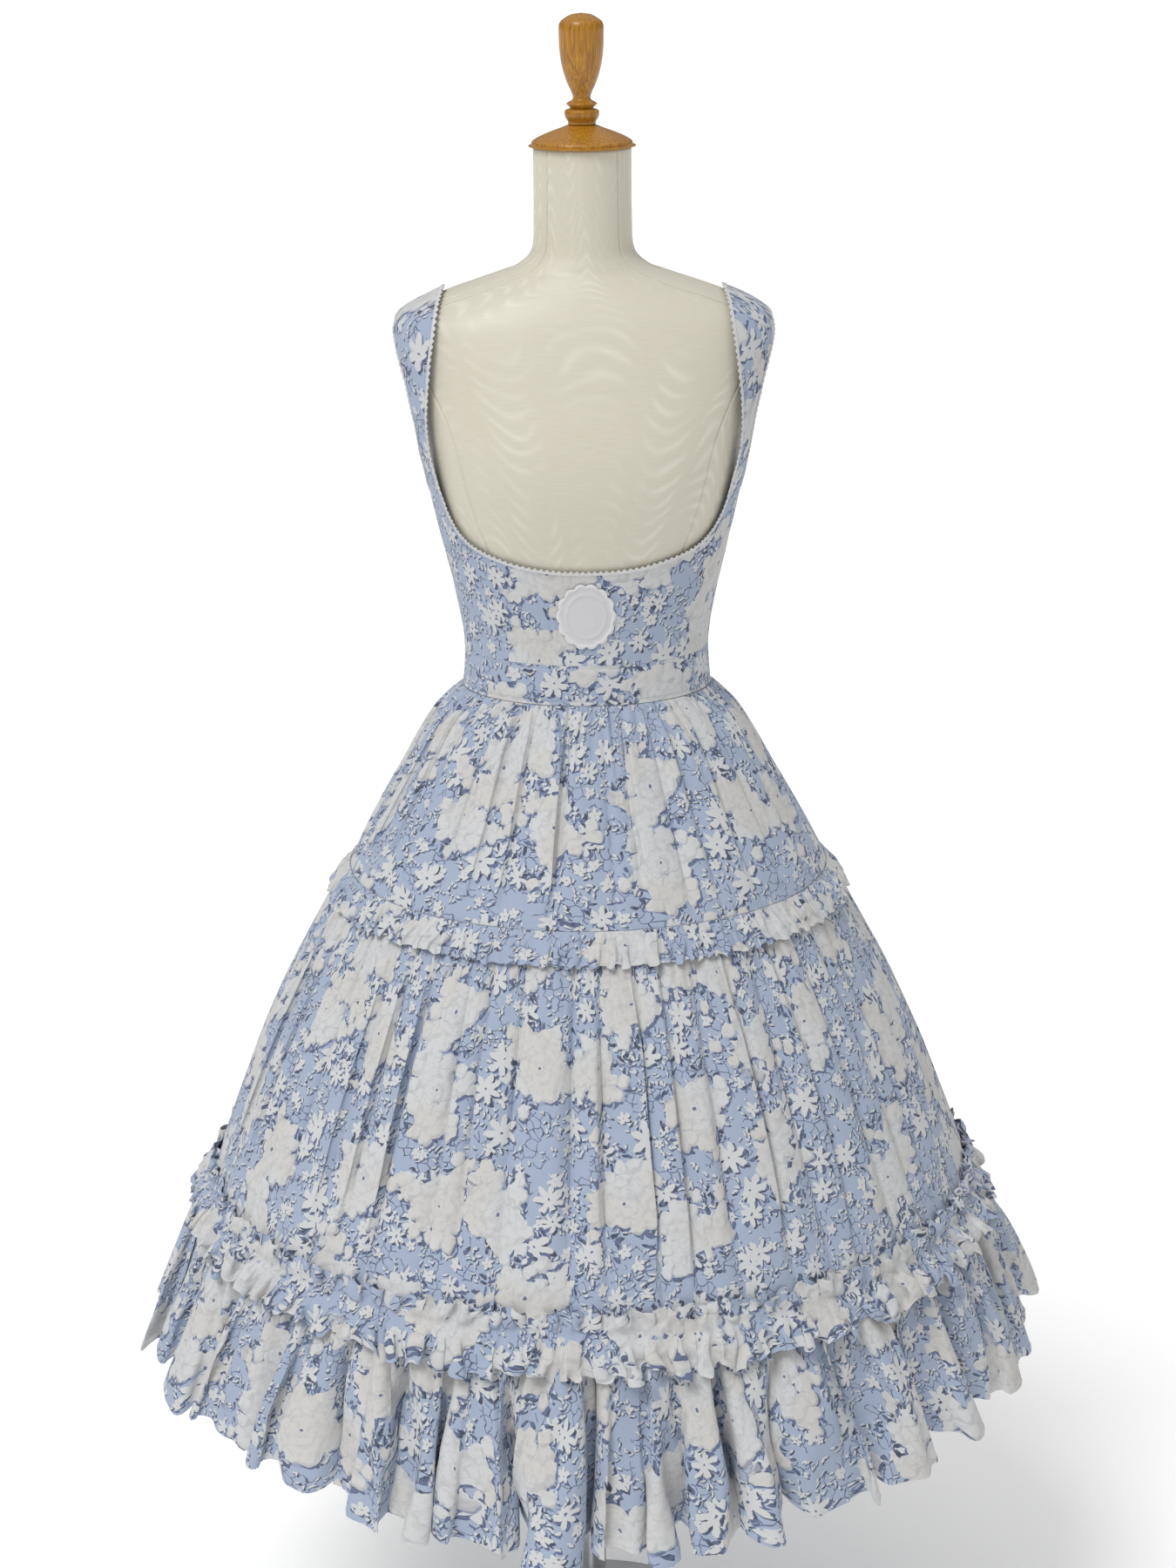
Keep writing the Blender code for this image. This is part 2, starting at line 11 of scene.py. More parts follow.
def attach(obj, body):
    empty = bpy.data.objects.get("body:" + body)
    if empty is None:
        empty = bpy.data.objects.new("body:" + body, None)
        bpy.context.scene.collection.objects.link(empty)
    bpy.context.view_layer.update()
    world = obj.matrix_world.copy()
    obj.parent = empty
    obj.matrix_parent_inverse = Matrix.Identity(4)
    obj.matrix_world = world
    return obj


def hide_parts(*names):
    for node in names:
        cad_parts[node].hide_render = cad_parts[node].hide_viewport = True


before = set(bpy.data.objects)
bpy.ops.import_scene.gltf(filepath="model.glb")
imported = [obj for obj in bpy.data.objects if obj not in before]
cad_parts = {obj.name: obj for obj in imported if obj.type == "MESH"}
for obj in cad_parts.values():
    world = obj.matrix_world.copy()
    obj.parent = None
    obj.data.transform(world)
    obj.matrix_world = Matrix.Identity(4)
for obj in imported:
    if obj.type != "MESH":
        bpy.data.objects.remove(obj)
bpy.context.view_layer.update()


# Studio: a plain matt floor, painted near white, in soft room light, with one large soft key
# light high in front and to the left. The camera stands above the form's shoulders and looks
# down at it.
FLOOR_HALF = 60.0
CAMERA_SEAT = Vector((0.0003, -3.0, 1.9275))
PITCH_DOWN = math.radians(17.32)
ROLL = math.radians(-0.5)
FOCAL_PIXELS = 3600.0
PICTURE_HEIGHT = 1800.0
FILM_HEIGHT = 36.0
KEY_DIRECTION = Vector((0.36, 0.46, -0.82))
KEY_STRENGTH, KEY_SOFTNESS = 1.72, math.radians(24.0)
SKY_AT_HORIZON, SKY_OVERHEAD = 0.09, 0.86
FLOOR_GLOW = 0.20


def linear(colour):
    """The linear colour of a written sRGB hex value."""
    channels = []
    for start in (0, 2, 4):
        value = int(colour[start : start + 2], 16) / 255.0
        channels.append(value / 12.92 if value <= 0.04045 else ((value + 0.055) / 1.055) ** 2.4)
    return (*channels, 1.0)


def add(tree, kind, links=(), settings=()):
    """Adds a shader node with its settings made and inputs linked or set; gives its outputs."""
    made = tree.nodes.new("ShaderNode" + kind)
    for name, value in dict(settings).items():
        setattr(made, name, value)
    for socket, value in dict(links).items():
        if isinstance(value, bpy.types.NodeSocket):
            tree.links.new(value, made.inputs[socket])
        else:
            made.inputs[socket].default_value = value
    return made.outputs


def blank_material(name):
    made = bpy.data.materials.new(name)
    made.use_nodes = True
    return made, made.node_tree, made.node_tree.nodes["Principled BSDF"]


def as_object(name, maker, material):
    mesh = bpy.data.meshes.new(name)
    maker.to_mesh(mesh)
    maker.free()
    mesh.shade_smooth()
    mesh.materials.append(material)
    made = bpy.data.objects.new(name, mesh)
    bpy.context.scene.collection.objects.link(made)
    return made


floor_paint, _, shader = blank_material("matt_floor_paint")
shader.inputs["Base Color"].default_value = linear("f6f6f5")
shader.inputs["Roughness"].default_value = 0.8
shader.inputs["Emission Color"].default_value = linear("ffffff")
shader.inputs["Emission Strength"].default_value = FLOOR_GLOW

maker = bmesh.new()
bmesh.ops.create_grid(maker, x_segments=4, y_segments=4, size=FLOOR_HALF)
floor = as_object("floor", maker, floor_paint)

sky = bpy.data.worlds.new("soft_room_light")
sky.use_nodes = True
background = sky.node_tree.nodes["Background"]
background.inputs["Color"].default_value = linear("fbfbfc")
heading = add(sky.node_tree, "TexCoord")["Generated"]
heading = add(sky.node_tree, "SeparateXYZ", {"Vector": heading})["Z"]
glow = add(sky.node_tree, "MapRange", {
    "Value": heading, "To Min": SKY_AT_HORIZON, "To Max": SKY_OVERHEAD})["Result"]
# The gradient lights the object; what is seen past the floor is one even pale wall
seen = add(sky.node_tree, "LightPath")["Is Camera Ray"]
glow = add(sky.node_tree, "Mix", {0: seen, 2: glow, 3: 1.0}, {"data_type": "FLOAT"})[0]
sky.node_tree.links.new(glow, background.inputs["Strength"])
bpy.context.scene.world = sky
bpy.context.scene.view_settings.view_transform = "Standard"

lamp = bpy.data.lights.new("soft_key_light", "SUN")
lamp.energy = KEY_STRENGTH
lamp.angle = KEY_SOFTNESS
key_light = bpy.data.objects.new("soft_key_light", lamp)
key_light.rotation_euler = KEY_DIRECTION.to_track_quat("-Z", "Y").to_euler()
bpy.context.scene.collection.objects.link(key_light)

forward = Vector((0.0, math.cos(PITCH_DOWN), -math.sin(PITCH_DOWN)))
level = Vector((1.0, 0.0, 0.0))
upright = level.cross(forward)
right = level * math.cos(ROLL) + upright * math.sin(ROLL)
upward = upright * math.cos(ROLL) - level * math.sin(ROLL)
lens = bpy.data.cameras.new("camera")
lens.sensor_fit = "VERTICAL"
lens.sensor_height = FILM_HEIGHT
lens.lens = FOCAL_PIXELS / PICTURE_HEIGHT * FILM_HEIGHT
camera = bpy.data.objects.new("camera", lens)
turn = Matrix((right, upward, -forward)).transposed().to_4x4()
camera.matrix_world = Matrix.Translation(CAMERA_SEAT) @ turn
bpy.context.scene.collection.objects.link(camera)
bpy.context.scene.camera = camera


# Stand: a heavy round steel plate with a steel tube screwed into its middle. Both are turned
# or drawn steel with a brushed, clear-lacquered surface.
WAIST_HEIGHT = 1.10
FORM_BOTTOM = 0.86
BASE_PROFILE = (  # height above the floor, radius
    (0.0140, 0.0000), (0.0140, 0.0280), (0.0140, 0.1560), (0.0136, 0.1590), (0.0122, 0.1622),
    (0.0100, 0.1645), (0.0072, 0.1650), (0.0020, 0.1650), (0.0000, 0.1642), (0.0, 0.0),
)
POLE_RADIUS = 0.0125
POLE_FOOT = 0.0143
POLE_PROFILE = (  # height above the floor, radius
    (FORM_BOTTOM - 0.0004, 0.0), (FORM_BOTTOM - 0.0004, POLE_RADIUS - 0.001),
    (FORM_BOTTOM - 0.0014, POLE_RADIUS), (POLE_FOOT + 0.0010, POLE_RADIUS),
    (POLE_FOOT, POLE_RADIUS - 0.0005), (POLE_FOOT, 0.0),
)


def turned(name, profile, steps, material):
    """A piece spun about the upright axis from its profile, which runs down its outer side."""
    spun = bmesh.new()
    last = None
    for height, radius in profile:
        vert = spun.verts.new((radius, 0.0, height))
        if last is not None:
            spun.edges.new((last, vert))
        last = vert
    bmesh.ops.spin(
        spun, geom=spun.verts[:] + spun.edges[:], cent=(0, 0, 0), axis=(0, 0, 1),
        dvec=(0, 0, 0), angle=2.0 * math.pi, steps=steps, use_merge=True, use_duplicate=False,
    )
    bmesh.ops.remove_doubles(spun, verts=spun.verts, dist=0.00001)
    bmesh.ops.recalc_face_normals(spun, faces=spun.faces)
    return as_object(name, spun, material)


def split_normals_at(made, degrees):
    """Keep arrises crisp where faces meet at more than this angle."""
    made.data.set_sharp_from_angle(angle=math.radians(degrees))


# Brushed steel under clear lacquer: its fine streaks run round it and draw each highlight out
# sideways. They are drawn 17 mm long and 1.1 mm apart, as coarse as they need to show.
STREAKS_PER_METRE = (60.0, 60.0, 900.0)
steel, tree, shader = blank_material("brushed_lacquered_steel")
where = add(tree, "TexCoord")["Object"]
streaks = add(tree, "Mapping", {"Vector": where, "Scale": STREAKS_PER_METRE})["Vector"]
brushing = add(tree, "TexNoise", {"Vector": streaks, "Scale": 1.0, "Detail": 3.0})["Fac"]
tone = add(tree, "Mix", {0: brushing, 6: linear("b2b3b6"), 7: linear("d2d3d4")},
           {"data_type": "RGBA"})[2]
tree.links.new(tone, shader.inputs["Base Color"])
gloss = add(tree, "MapRange", {"Value": brushing, "To Min": 0.26, "To Max": 0.42})["Result"]
tree.links.new(gloss, shader.inputs["Roughness"])
shader.inputs["Metallic"].default_value = 1.0

base = turned("steel_base", BASE_PROFILE, 96, steel)
pole = turned("steel_pole", POLE_PROFILE, 48, steel)
for piece, node in ((base, "stand_base"), (pole, "stand_pole")):
    split_normals_at(piece, 35.0)
    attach(piece, "root")
    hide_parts(node)


# Form cover: the limbless form is a moulded shell covered in watered silk, cut in panels and
# sewn edge to edge. Seams run down the bust in front, the sides and the back.
FORM_SECTIONS = (  # height from the waist, half width, depth in front, depth behind, squareness
    (-0.240, 0.150, 0.096, 0.106, 2.1), (-0.230, 0.160, 0.103, 0.114, 2.1),
    (-0.190, 0.163, 0.106, 0.118, 2.1), (-0.120, 0.152, 0.102, 0.110, 2.1),
    (-0.055, 0.132, 0.095, 0.098, 2.05), (0.000, 0.1198, 0.0922, 0.0920, 2.0),
    (0.040, 0.1170, 0.0920, 0.0915, 2.0), (0.090, 0.1240, 0.0965, 0.0960, 2.1),
    (0.140, 0.1345, 0.1050, 0.1020, 2.25), (0.180, 0.1425, 0.1170, 0.1070, 2.35),
    (0.212, 0.1480, 0.1250, 0.1110, 2.4), (0.240, 0.1530, 0.1270, 0.1140, 2.4),
    (0.268, 0.1600, 0.1205, 0.1150, 2.4), (0.300, 0.1680, 0.1090, 0.1130, 2.4),
    (0.330, 0.1750, 0.0980, 0.1080, 2.4), (0.351, 0.1772, 0.0895, 0.1010, 2.35),
    (0.365, 0.1715, 0.0835, 0.0940, 2.3), (0.376, 0.1550, 0.0780, 0.0870, 2.2),
    (0.387, 0.1310, 0.0715, 0.0790, 2.1), (0.396, 0.1050, 0.0650, 0.0710, 2.05),
    (0.405, 0.0790, 0.0590, 0.0640, 2.0), (0.414, 0.0590, 0.0540, 0.0570, 2.0),
    (0.426, 0.0490, 0.0500, 0.0520, 2.0), (0.455, 0.0468, 0.0475, 0.0490, 2.0),
    (0.5216, 0.0465, 0.0465, 0.0465, 2.0),
)
FORM_SEAMS = (  # height, degrees from the side line to the front seam and to the back seam
    (-0.240, 52.0, 58.0), (0.000, 58.0, 60.0), (0.120, 52.0, 58.0), (0.215, 44.0, 55.0),
    (0.270, 40.0, 52.0), (0.330, 28.0, 44.0), (0.365, 24.0, 38.0), (0.400, 40.0, 45.0),
    (0.5216, 45.0, 45.0),
)
PANEL_EDGES = (  # degrees, with the share of the front and of the back seam's own degrees
    (0.0, 0, 0), (0.0, 0, 1), (90.0, 0, 0), (180.0, 0, -1), (180.0, 0, 0), (180.0, 1, 0),
    (360.0, -1, 0), (360.0, 0, 0),
)
SEAM_DEPTH, SEAM_HALF_WIDTH = 0.0013, 0.0011
NECK_SEAM_HEIGHT, NECK_SEAM_HALF_WIDTH, NECK_SEAM_SHARE = 0.4090, 0.0026, 0.9
FORM_MEAN_RADIUS = 0.15
FORM_COLUMNS_PER_PANEL, FORM_ROWS = 22, 250


def read_table(table, at):
    """The other columns at a value of the first, on a smooth curve that never overshoots."""
    keys = [row[0] for row in table]
    at = min(max(at, keys[0]), keys[-1])
    low = min(max(bisect.bisect_right(keys, at) - 1, 0), len(table) - 2)
    span = keys[low + 1] - keys[low]
    share = (at - keys[low]) / span

    def slope(index, column):
        before, after = max(index - 1, 0), min(index + 1, len(table) - 1)
        rise = table[after][column] - table[index][column]
        climb = table[index][column] - table[before][column]
        if before < index < after and rise * climb <= 0.0:
            return 0.0
        return (rise + climb) / (keys[after] - keys[before])

    found = []
    for column in range(1, len(table[0])):
        start, end = table[low][column], table[low + 1][column]
        leave, arrive = slope(low, column) * span, slope(low + 1, column) * span
        found.append(
            start * (1 + 2 * share) * (1 - share) ** 2
            + leave * share * (1 - share) ** 2
            + end * share**2 * (3 - 2 * share)
            - arrive * share**2 * (1 - share)
        )
    return found


def form_point(angle, height):
    """A point of the form; the angle runs from +X round over the back."""
    half_width, front, back, squareness = read_table(FORM_SECTIONS, height)
    power = 2.0 / squareness
    across, along = math.cos(angle), math.sin(angle)
    depth = back if along > 0 else front
    x = half_width * math.copysign(abs(across) ** power, across)
    y = depth * math.copysign(abs(along) ** power, along)
    return Vector((x, y, height))


def form_normal(angle, height):
    """The way out of the form at one of its points, from two short steps along it."""
    small = 0.002
    low = max(height - small, FORM_SECTIONS[0][0])
    upward_step = form_point(angle, height + small) - form_point(angle, low)
    round_step = form_point(angle + small, height) - form_point(angle - small, height)
    return round_step.cross(upward_step).normalized()


def on_form(angle, height, air):
    return form_point(angle, height) + form_normal(angle, height) * air


def thickened(made, wall):
    """Give cloth its thickness inwards, with crisp cut edges."""
    thick = made.modifiers.new("Cloth", "SOLIDIFY")
    thick.thickness = wall
    thick.offset = -1.0
    ready = made.evaluated_get(bpy.context.evaluated_depsgraph_get())
    solid = bpy.data.meshes.new_from_object(ready)
    made.modifiers.clear()
    made.data = solid
    solid.set_sharp_from_angle(angle=math.radians(70.0))
    return made


def fabric_sheet(name, columns, rows, place, material, wall, flat=None, closed=False):
    """Cloth over a grid, where place gives the point at a share across and down. The UV map
    holds metres of flat cloth: what flat gives or, without it, the lengths along a row near
    the middle and down the columns."""
    maker = bmesh.new()
    bmesh.ops.create_grid(maker, x_segments=columns, y_segments=rows, size=0.5)
    layer = maker.loops.layers.uv.new("flat_cloth")
    spot = {}
    for vert in maker.verts:
        column, row = round((vert.co.x + 0.5) * columns), round((vert.co.y + 0.5) * rows)
        spot[vert] = (column, row)
    at = {cell: vert for vert, cell in spot.items()}
    for vert, (column, row) in spot.items():
        vert.co = place(column / columns, row / rows) + Vector((0.0, 0.0, WAIST_HEIGHT))
    middle_row = round(rows * 0.55)
    across, down = [0.0], [0.0]
    for column in range(columns):
        step = at[column + 1, middle_row].co - at[column, middle_row].co
        across.append(across[-1] + step.length)
    for row in range(rows):
        steps = [(at[c, row + 1].co - at[c, row].co).length for c in range(0, columns, 8)]
        down.append(down[-1] + sum(steps) / len(steps))
    for face in maker.faces:
        for loop in face.loops:
            column, row = spot[loop.vert]
            if flat:
                loop[layer].uv = flat(column / columns, row / rows)
            else:
                loop[layer].uv = (across[column], down[row])
    if closed:
        bmesh.ops.remove_doubles(maker, verts=maker.verts, dist=0.000002)
    maker.normal_update()
    outward = 0.0
    for face in maker.faces:
        centre = face.calc_center_median()
        outward += face.normal.dot(Vector((centre.x, centre.y, 0.0))) * face.calc_area()
    if outward < 0.0:
        bmesh.ops.reverse_faces(maker, faces=maker.faces)
    made = as_object(name, maker, material)
    return thickened(made, wall) if wall else made


# Watered silk: a finely ribbed cream silk, folded and pressed between rollers so that its
# crushed ribs show nested waves, with a soft gloss that is brighter along the waves. The ribs
# are finer than shows, so they are drawn 1.1 mm apart and about 11 mm long.
MOIRE_COLUMN, MOIRE_WAVE, MOIRE_BEND = 38.0, 19.0, 26.0  # mm: column, wave to wave, its depth
SWAY_WIDTH, SWAY_LENGTH, SWAY_ACROSS, SWAY_DOWN = 62.5, 100.0, 13.0, 44.0  # mm
PATCHES_PER_MM, RIBS_PER_MM = (0.030, 0.007, 1.0), (0.09, 0.9, 1.0)  # across, down
silk, tree, shader = blank_material("watered_silk_cover")
cover_map = add(tree, "UVMap", {}, {"uv_map": "flat_cloth"})["UV"]
cover_mm = add(tree, "VectorMath", {0: cover_map, "Scale": 1000.0}, {"operation": "SCALE"})[0]
part = add(tree, "SeparateXYZ", {"Vector": cover_mm})
sway = add(tree, "Mapping", {"Vector": cover_mm, "Scale": (
    1.0 / SWAY_WIDTH, 1.0 / SWAY_LENGTH, 1.0)})["Vector"]
sway = add(tree, "TexNoise", {"Vector": sway, "Scale": 1.0, "Detail": 2.0},
           {"noise_dimensions": "2D"})["Fac"]
column = add(tree, "Math", {0: sway, 1: SWAY_ACROSS, 2: part["X"]},
             {"operation": "MULTIPLY_ADD"})[0]
column = add(tree, "Math", {0: column, 1: 1.0 / MOIRE_COLUMN}, {"operation": "MULTIPLY"})[0]
number = add(tree, "Math", {0: column}, {"operation": "FLOOR"})[0]
chance = add(tree, "TexWhiteNoise", {"W": number}, {"noise_dimensions": "1D"})["Value"]
beside = add(tree, "Math", {0: column}, {"operation": "FRACT"})[0]
beside = add(tree, "Math", {0: beside, 1: 0.5}, {"operation": "SUBTRACT"})[0]
beside = add(tree, "Math", {0: beside}, {"operation": "ABSOLUTE"})[0]
bend = add(tree, "Math", {0: beside, 1: 2.0}, {"operation": "MULTIPLY"})[0]
bend = add(tree, "Math", {0: bend, 1: 2.0}, {"operation": "POWER"})[0]
over = add(tree, "Math", {0: chance, 1: 0.5}, {"operation": "GREATER_THAN"})[0]
over = add(tree, "Math", {0: over, 1: 2.0 * MOIRE_BEND, 2: -MOIRE_BEND},
           {"operation": "MULTIPLY_ADD"})[0]
wave = add(tree, "Math", {0: bend, 1: over, 2: part["Y"]}, {"operation": "MULTIPLY_ADD"})[0]
wave = add(tree, "Math", {0: sway, 1: SWAY_DOWN, 2: wave}, {"operation": "MULTIPLY_ADD"})[0]
wave = add(tree, "Math", {0: wave, 1: 2.0 * math.pi / MOIRE_WAVE}, {"operation": "MULTIPLY"})[0]
wave = add(tree, "Math", {0: wave}, {"operation": "SINE"})[0]
wave = add(tree, "Math", {0: wave, 1: 0.5, 2: 0.5}, {"operation": "MULTIPLY_ADD"})[0]
wave = add(tree, "Math", {0: wave, 1: 2.5}, {"operation": "POWER"})[0]
in_column = add(tree, "MapRange", {"Value": beside, "From Min": 0.30, "From Max": 0.46,
                                   "To Min": 1.0, "To Max": 0.0})["Result"]
wave = add(tree, "Math", {0: wave, 1: in_column}, {"operation": "MULTIPLY"})[0]
patches = add(tree, "Mapping", {"Vector": cover_mm, "Scale": PATCHES_PER_MM,
                                "Location": (5.0, 3.0, 0.0)})["Vector"]
patches = add(tree, "TexNoise", {"Vector": patches, "Scale": 1.0, "Detail": 1.0},
              {"noise_dimensions": "2D"})["Fac"]
strength = add(tree, "MapRange", {"Value": patches, "From Min": 0.40, "From Max": 0.62})["Result"]
ribs = add(tree, "Mapping", {"Vector": cover_mm, "Scale": RIBS_PER_MM})["Vector"]
ribs = add(tree, "TexNoise", {"Vector": ribs, "Scale": 1.0, "Detail": 2.0},
           {"noise_dimensions": "2D"})["Fac"]
wave = add(tree, "Math", {0: wave, 1: strength}, {"operation": "MULTIPLY"})[0]
ribs = add(tree, "Math", {0: ribs, 1: 0.45, 2: 0.12}, {"operation": "MULTIPLY_ADD"})[0]
wave = add(tree, "Math", {0: wave, 1: 0.44, 2: ribs}, {"operation": "MULTIPLY_ADD"})[0]
tone = add(tree, "MapRange", {"Value": wave, "From Min": 0.05, "From Max": 0.95})["Result"]
tone = add(tree, "Mix", {0: tone, 6: linear("c7c1ad"), 7: linear("dcd8ca")},
           {"data_type": "RGBA"})[2]
tree.links.new(tone, shader.inputs["Base Color"])
gloss = add(tree, "MapRange", {"Value": wave, "To Min": 0.52, "To Max": 0.36})["Result"]
tree.links.new(gloss, shader.inputs["Roughness"])
shader.inputs["Sheen Weight"].default_value = 0.15
shader.inputs["Sheen Roughness"].default_value = 0.4


def form_cover_place(across, down):
    """A point of the cover: columns crowd to each seam, where the silk is drawn in."""
    height = FORM_SECTIONS[0][0] + (FORM_SECTIONS[-1][0] - FORM_SECTIONS[0][0]) * (1.0 - down)
    front, back = read_table(FORM_SEAMS, height)
    edges = [turn + front * of_front + back * of_back for turn, of_front, of_back in PANEL_EDGES]
    panels = len(PANEL_EDGES) - 1
    panel = min(int(across * panels + 1e-9), panels - 1)
    inside = across * panels - panel
    crowded = inside - math.sin(2.0 * math.pi * inside) / (2.0 * math.pi) * 0.9
    start, end = edges[panel], edges[panel + 1]
    angle = math.radians(start + (end - start) * crowded)
    reach = min(crowded, 1.0 - crowded) * math.radians(end - start) * FORM_MEAN_RADIUS
    seam = math.exp(-((reach / SEAM_HALF_WIDTH) ** 2))
    neck_reach = (height - NECK_SEAM_HEIGHT) / NECK_SEAM_HALF_WIDTH
    seam = max(seam, NECK_SEAM_SHARE * math.exp(-(neck_reach**2)))
    return form_point(angle, height) - form_normal(angle, height) * SEAM_DEPTH * seam


cover = fabric_sheet(
    "silk_form_cover", FORM_COLUMNS_PER_PANEL * (len(PANEL_EDGES) - 1), FORM_ROWS,
    form_cover_place, silk, 0.0, closed=True,
)
ends = bmesh.new()
ends.from_mesh(cover.data)
bmesh.ops.holes_fill(ends, edges=[edge for edge in ends.edges if edge.is_boundary], sides=0)
bmesh.ops.recalc_face_normals(ends, faces=ends.faces)
ends.to_mesh(cover.data)
ends.free()
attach(cover, "root")
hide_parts("form_torso")


# Neck cap and finial: beech turned on a lathe, stained honey brown and varnished. The cap's
# dish covers the cut neck, and the finial is glued into it on a spigot.
CAP_RIM = 0.5250 + WAIST_HEIGHT
CAP_PROFILE = (  # height above the rim, radius
    (0.0165, 0.0000), (0.0165, 0.0120), (0.0140, 0.0195), (0.0100, 0.0305), (0.0060, 0.0400),
    (0.0025, 0.0462), (0.0008, 0.0477), (-0.0012, 0.0480), (-0.0030, 0.0474), (-0.0030, 0.0),
)
FINIAL_PROFILE = (  # height above the rim, radius
    (0.1190, 0.0000), (0.1178, 0.0085), (0.1140, 0.0160), (0.1085, 0.0207), (0.0940, 0.0210),
    (0.0800, 0.0200), (0.0680, 0.0178), (0.0560, 0.0140), (0.0450, 0.0090), (0.0405, 0.0084),
    (0.0360, 0.0145), (0.0322, 0.0108), (0.0300, 0.0157), (0.0255, 0.0163), (0.0200, 0.0134),
    (0.0168, 0.0120), (0.0168, 0.0000),
)


def lathe_curve(profile, finer):
    """The profile with smooth curves between its points, except along its flat ends."""
    numbered = [(index, *row) for index, row in enumerate(profile)]
    last = len(profile) - 1
    curve = [profile[0]]
    for index in range(last):
        steps = 1 if index in (0, last - 1) else finer
        for step in range(1, steps + 1):
            curve.append(tuple(read_table(numbered, index + step / steps)))
    return [(height + CAP_RIM, radius) for height, radius in curve]


# Varnished beech: close-grained pale wood with short darker flecks along the grain, stained
# honey brown under a clear coat, so it has a crisp highlight over a soft brown.
GRAIN_WIDTH, GRAIN_LENGTH = 1.6, 26.0  # mm
STAIN_PER_METRE = 38.0  # a cloud of darker stain in every 26 mm
beech, tree, shader = blank_material("varnished_beech")
where = add(tree, "TexCoord")["Object"]
grain = add(tree, "Mapping", {"Vector": where, "Scale": (
    1000.0 / GRAIN_WIDTH, 1000.0 / GRAIN_WIDTH, 1000.0 / GRAIN_LENGTH)})["Vector"]
fleck = add(tree, "TexNoise", {"Vector": grain, "Scale": 1.0, "Detail": 4.0})["Fac"]
stain = add(tree, "TexNoise", {"Vector": where, "Scale": STAIN_PER_METRE, "Detail": 2.0})["Fac"]
fleck = add(tree, "MapRange", {"Value": fleck, "From Min": 0.36, "From Max": 0.66})["Result"]
tone = add(tree, "Mix", {0: fleck, 6: linear("8c5a06"), 7: linear("c08a1c")},
           {"data_type": "RGBA"})[2]
stain = add(tree, "MapRange", {"Value": stain, "From Min": 0.35, "From Max": 0.70,
                               "To Max": 0.55})["Result"]
tone = add(tree, "Mix", {0: stain, 6: tone, 7: linear("9a630a")}, {"data_type": "RGBA"})[2]
tree.links.new(tone, shader.inputs["Base Color"])
shader.inputs["Roughness"].default_value = 0.42
shader.inputs["Coat Weight"].default_value = 0.22
shader.inputs["Coat Roughness"].default_value = 0.12

cap = turned("beech_neck_cap", lathe_curve(CAP_PROFILE, 4), 96, beech)
finial = turned("beech_finial", lathe_curve(FINIAL_PROFILE, 5), 80, beech)
for piece, node in ((cap, "neck_cap"), (finial, "neck_finial")):
    split_normals_at(piece, 50.0)
    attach(piece, "root")
    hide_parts(node)


# Bodice: printed cotton lawn, cut low under the bust and up into wide straps. The front is
# one piece; the back is two halves. The pieces are joined at the sides and on the shoulders.
CLOTH_WALL = 0.0009
HALF_SEAM = 0.00015
BODICE_AIR = 0.0004
CREASE_SIZE, CREASE_HEIGHT = 0.030, 0.0006
FLAT_RADIUS, FLAT_TOP, BACKS_APART = 0.13, 0.4, 0.41  # how the print's flat map is laid out
FRONT_BODICE = (  # neckline half width and height, degrees round and height of the outer edge
    (0.1330, 0.3870, 0.0, 0.3660), (0.1365, 0.3740, 9.0, 0.3550), (0.1390, 0.3500, 15.0, 0.3340),
    (0.1412, 0.3220, 19.0, 0.3050), (0.1425, 0.2900, 19.0, 0.2760), (0.1415, 0.2620, 16.0, 0.2460),
    (0.1382, 0.2360, 12.0, 0.2190), (0.1330, 0.2080, 8.0, 0.2000), (0.1262, 0.1840, 8.0, 0.1560),
    (0.1170, 0.1670, 8.0, 0.1060), (0.1040, 0.1550, 8.0, 0.0400), (0.0830, 0.1455, 27.0, 0.0400),
    (0.0560, 0.1385, 48.0, 0.0400), (0.0280, 0.1350, 69.0, 0.0400), (0.0000, 0.1340, 90.0, 0.0400),
)
BACK_BODICE = (  # the same columns
    (0.1330, 0.3870, 0.0, 0.3660), (0.1365, 0.3740, 9.0, 0.3550), (0.1385, 0.3500, 15.0, 0.3340),
    (0.1400, 0.3200, 19.0, 0.3050), (0.1385, 0.2900, 19.0, 0.2760), (0.1340, 0.2640, 12.0, 0.2460),
    (0.1260, 0.2430, 1.0, 0.2190), (0.1150, 0.2270, -8.0, 0.2000), (0.1020, 0.2160, -8.0, 0.1560),
    (0.0880, 0.2085, -8.0, 0.1060), (0.0740, 0.2040, -8.0, 0.0400), (0.0560, 0.2000, 20.0, 0.0400),
    (0.0380, 0.1970, 48.0, 0.0400), (0.0190, 0.1955, 69.0, 0.0400), (0.0000, 0.1950, 90.0, 0.0400),
)
STRAP_AIR = (  # height, air between the form and the cloth
    (0.040, 0.0018), (0.150, 0.0024), (0.200, 0.0042), (0.245, 0.0075), (0.300, 0.0070),
    (0.340, 0.0058), (0.366, 0.0042), (0.387, 0.0028),
)
BODICE_COLUMNS, BODICE_ROWS = 110, 36

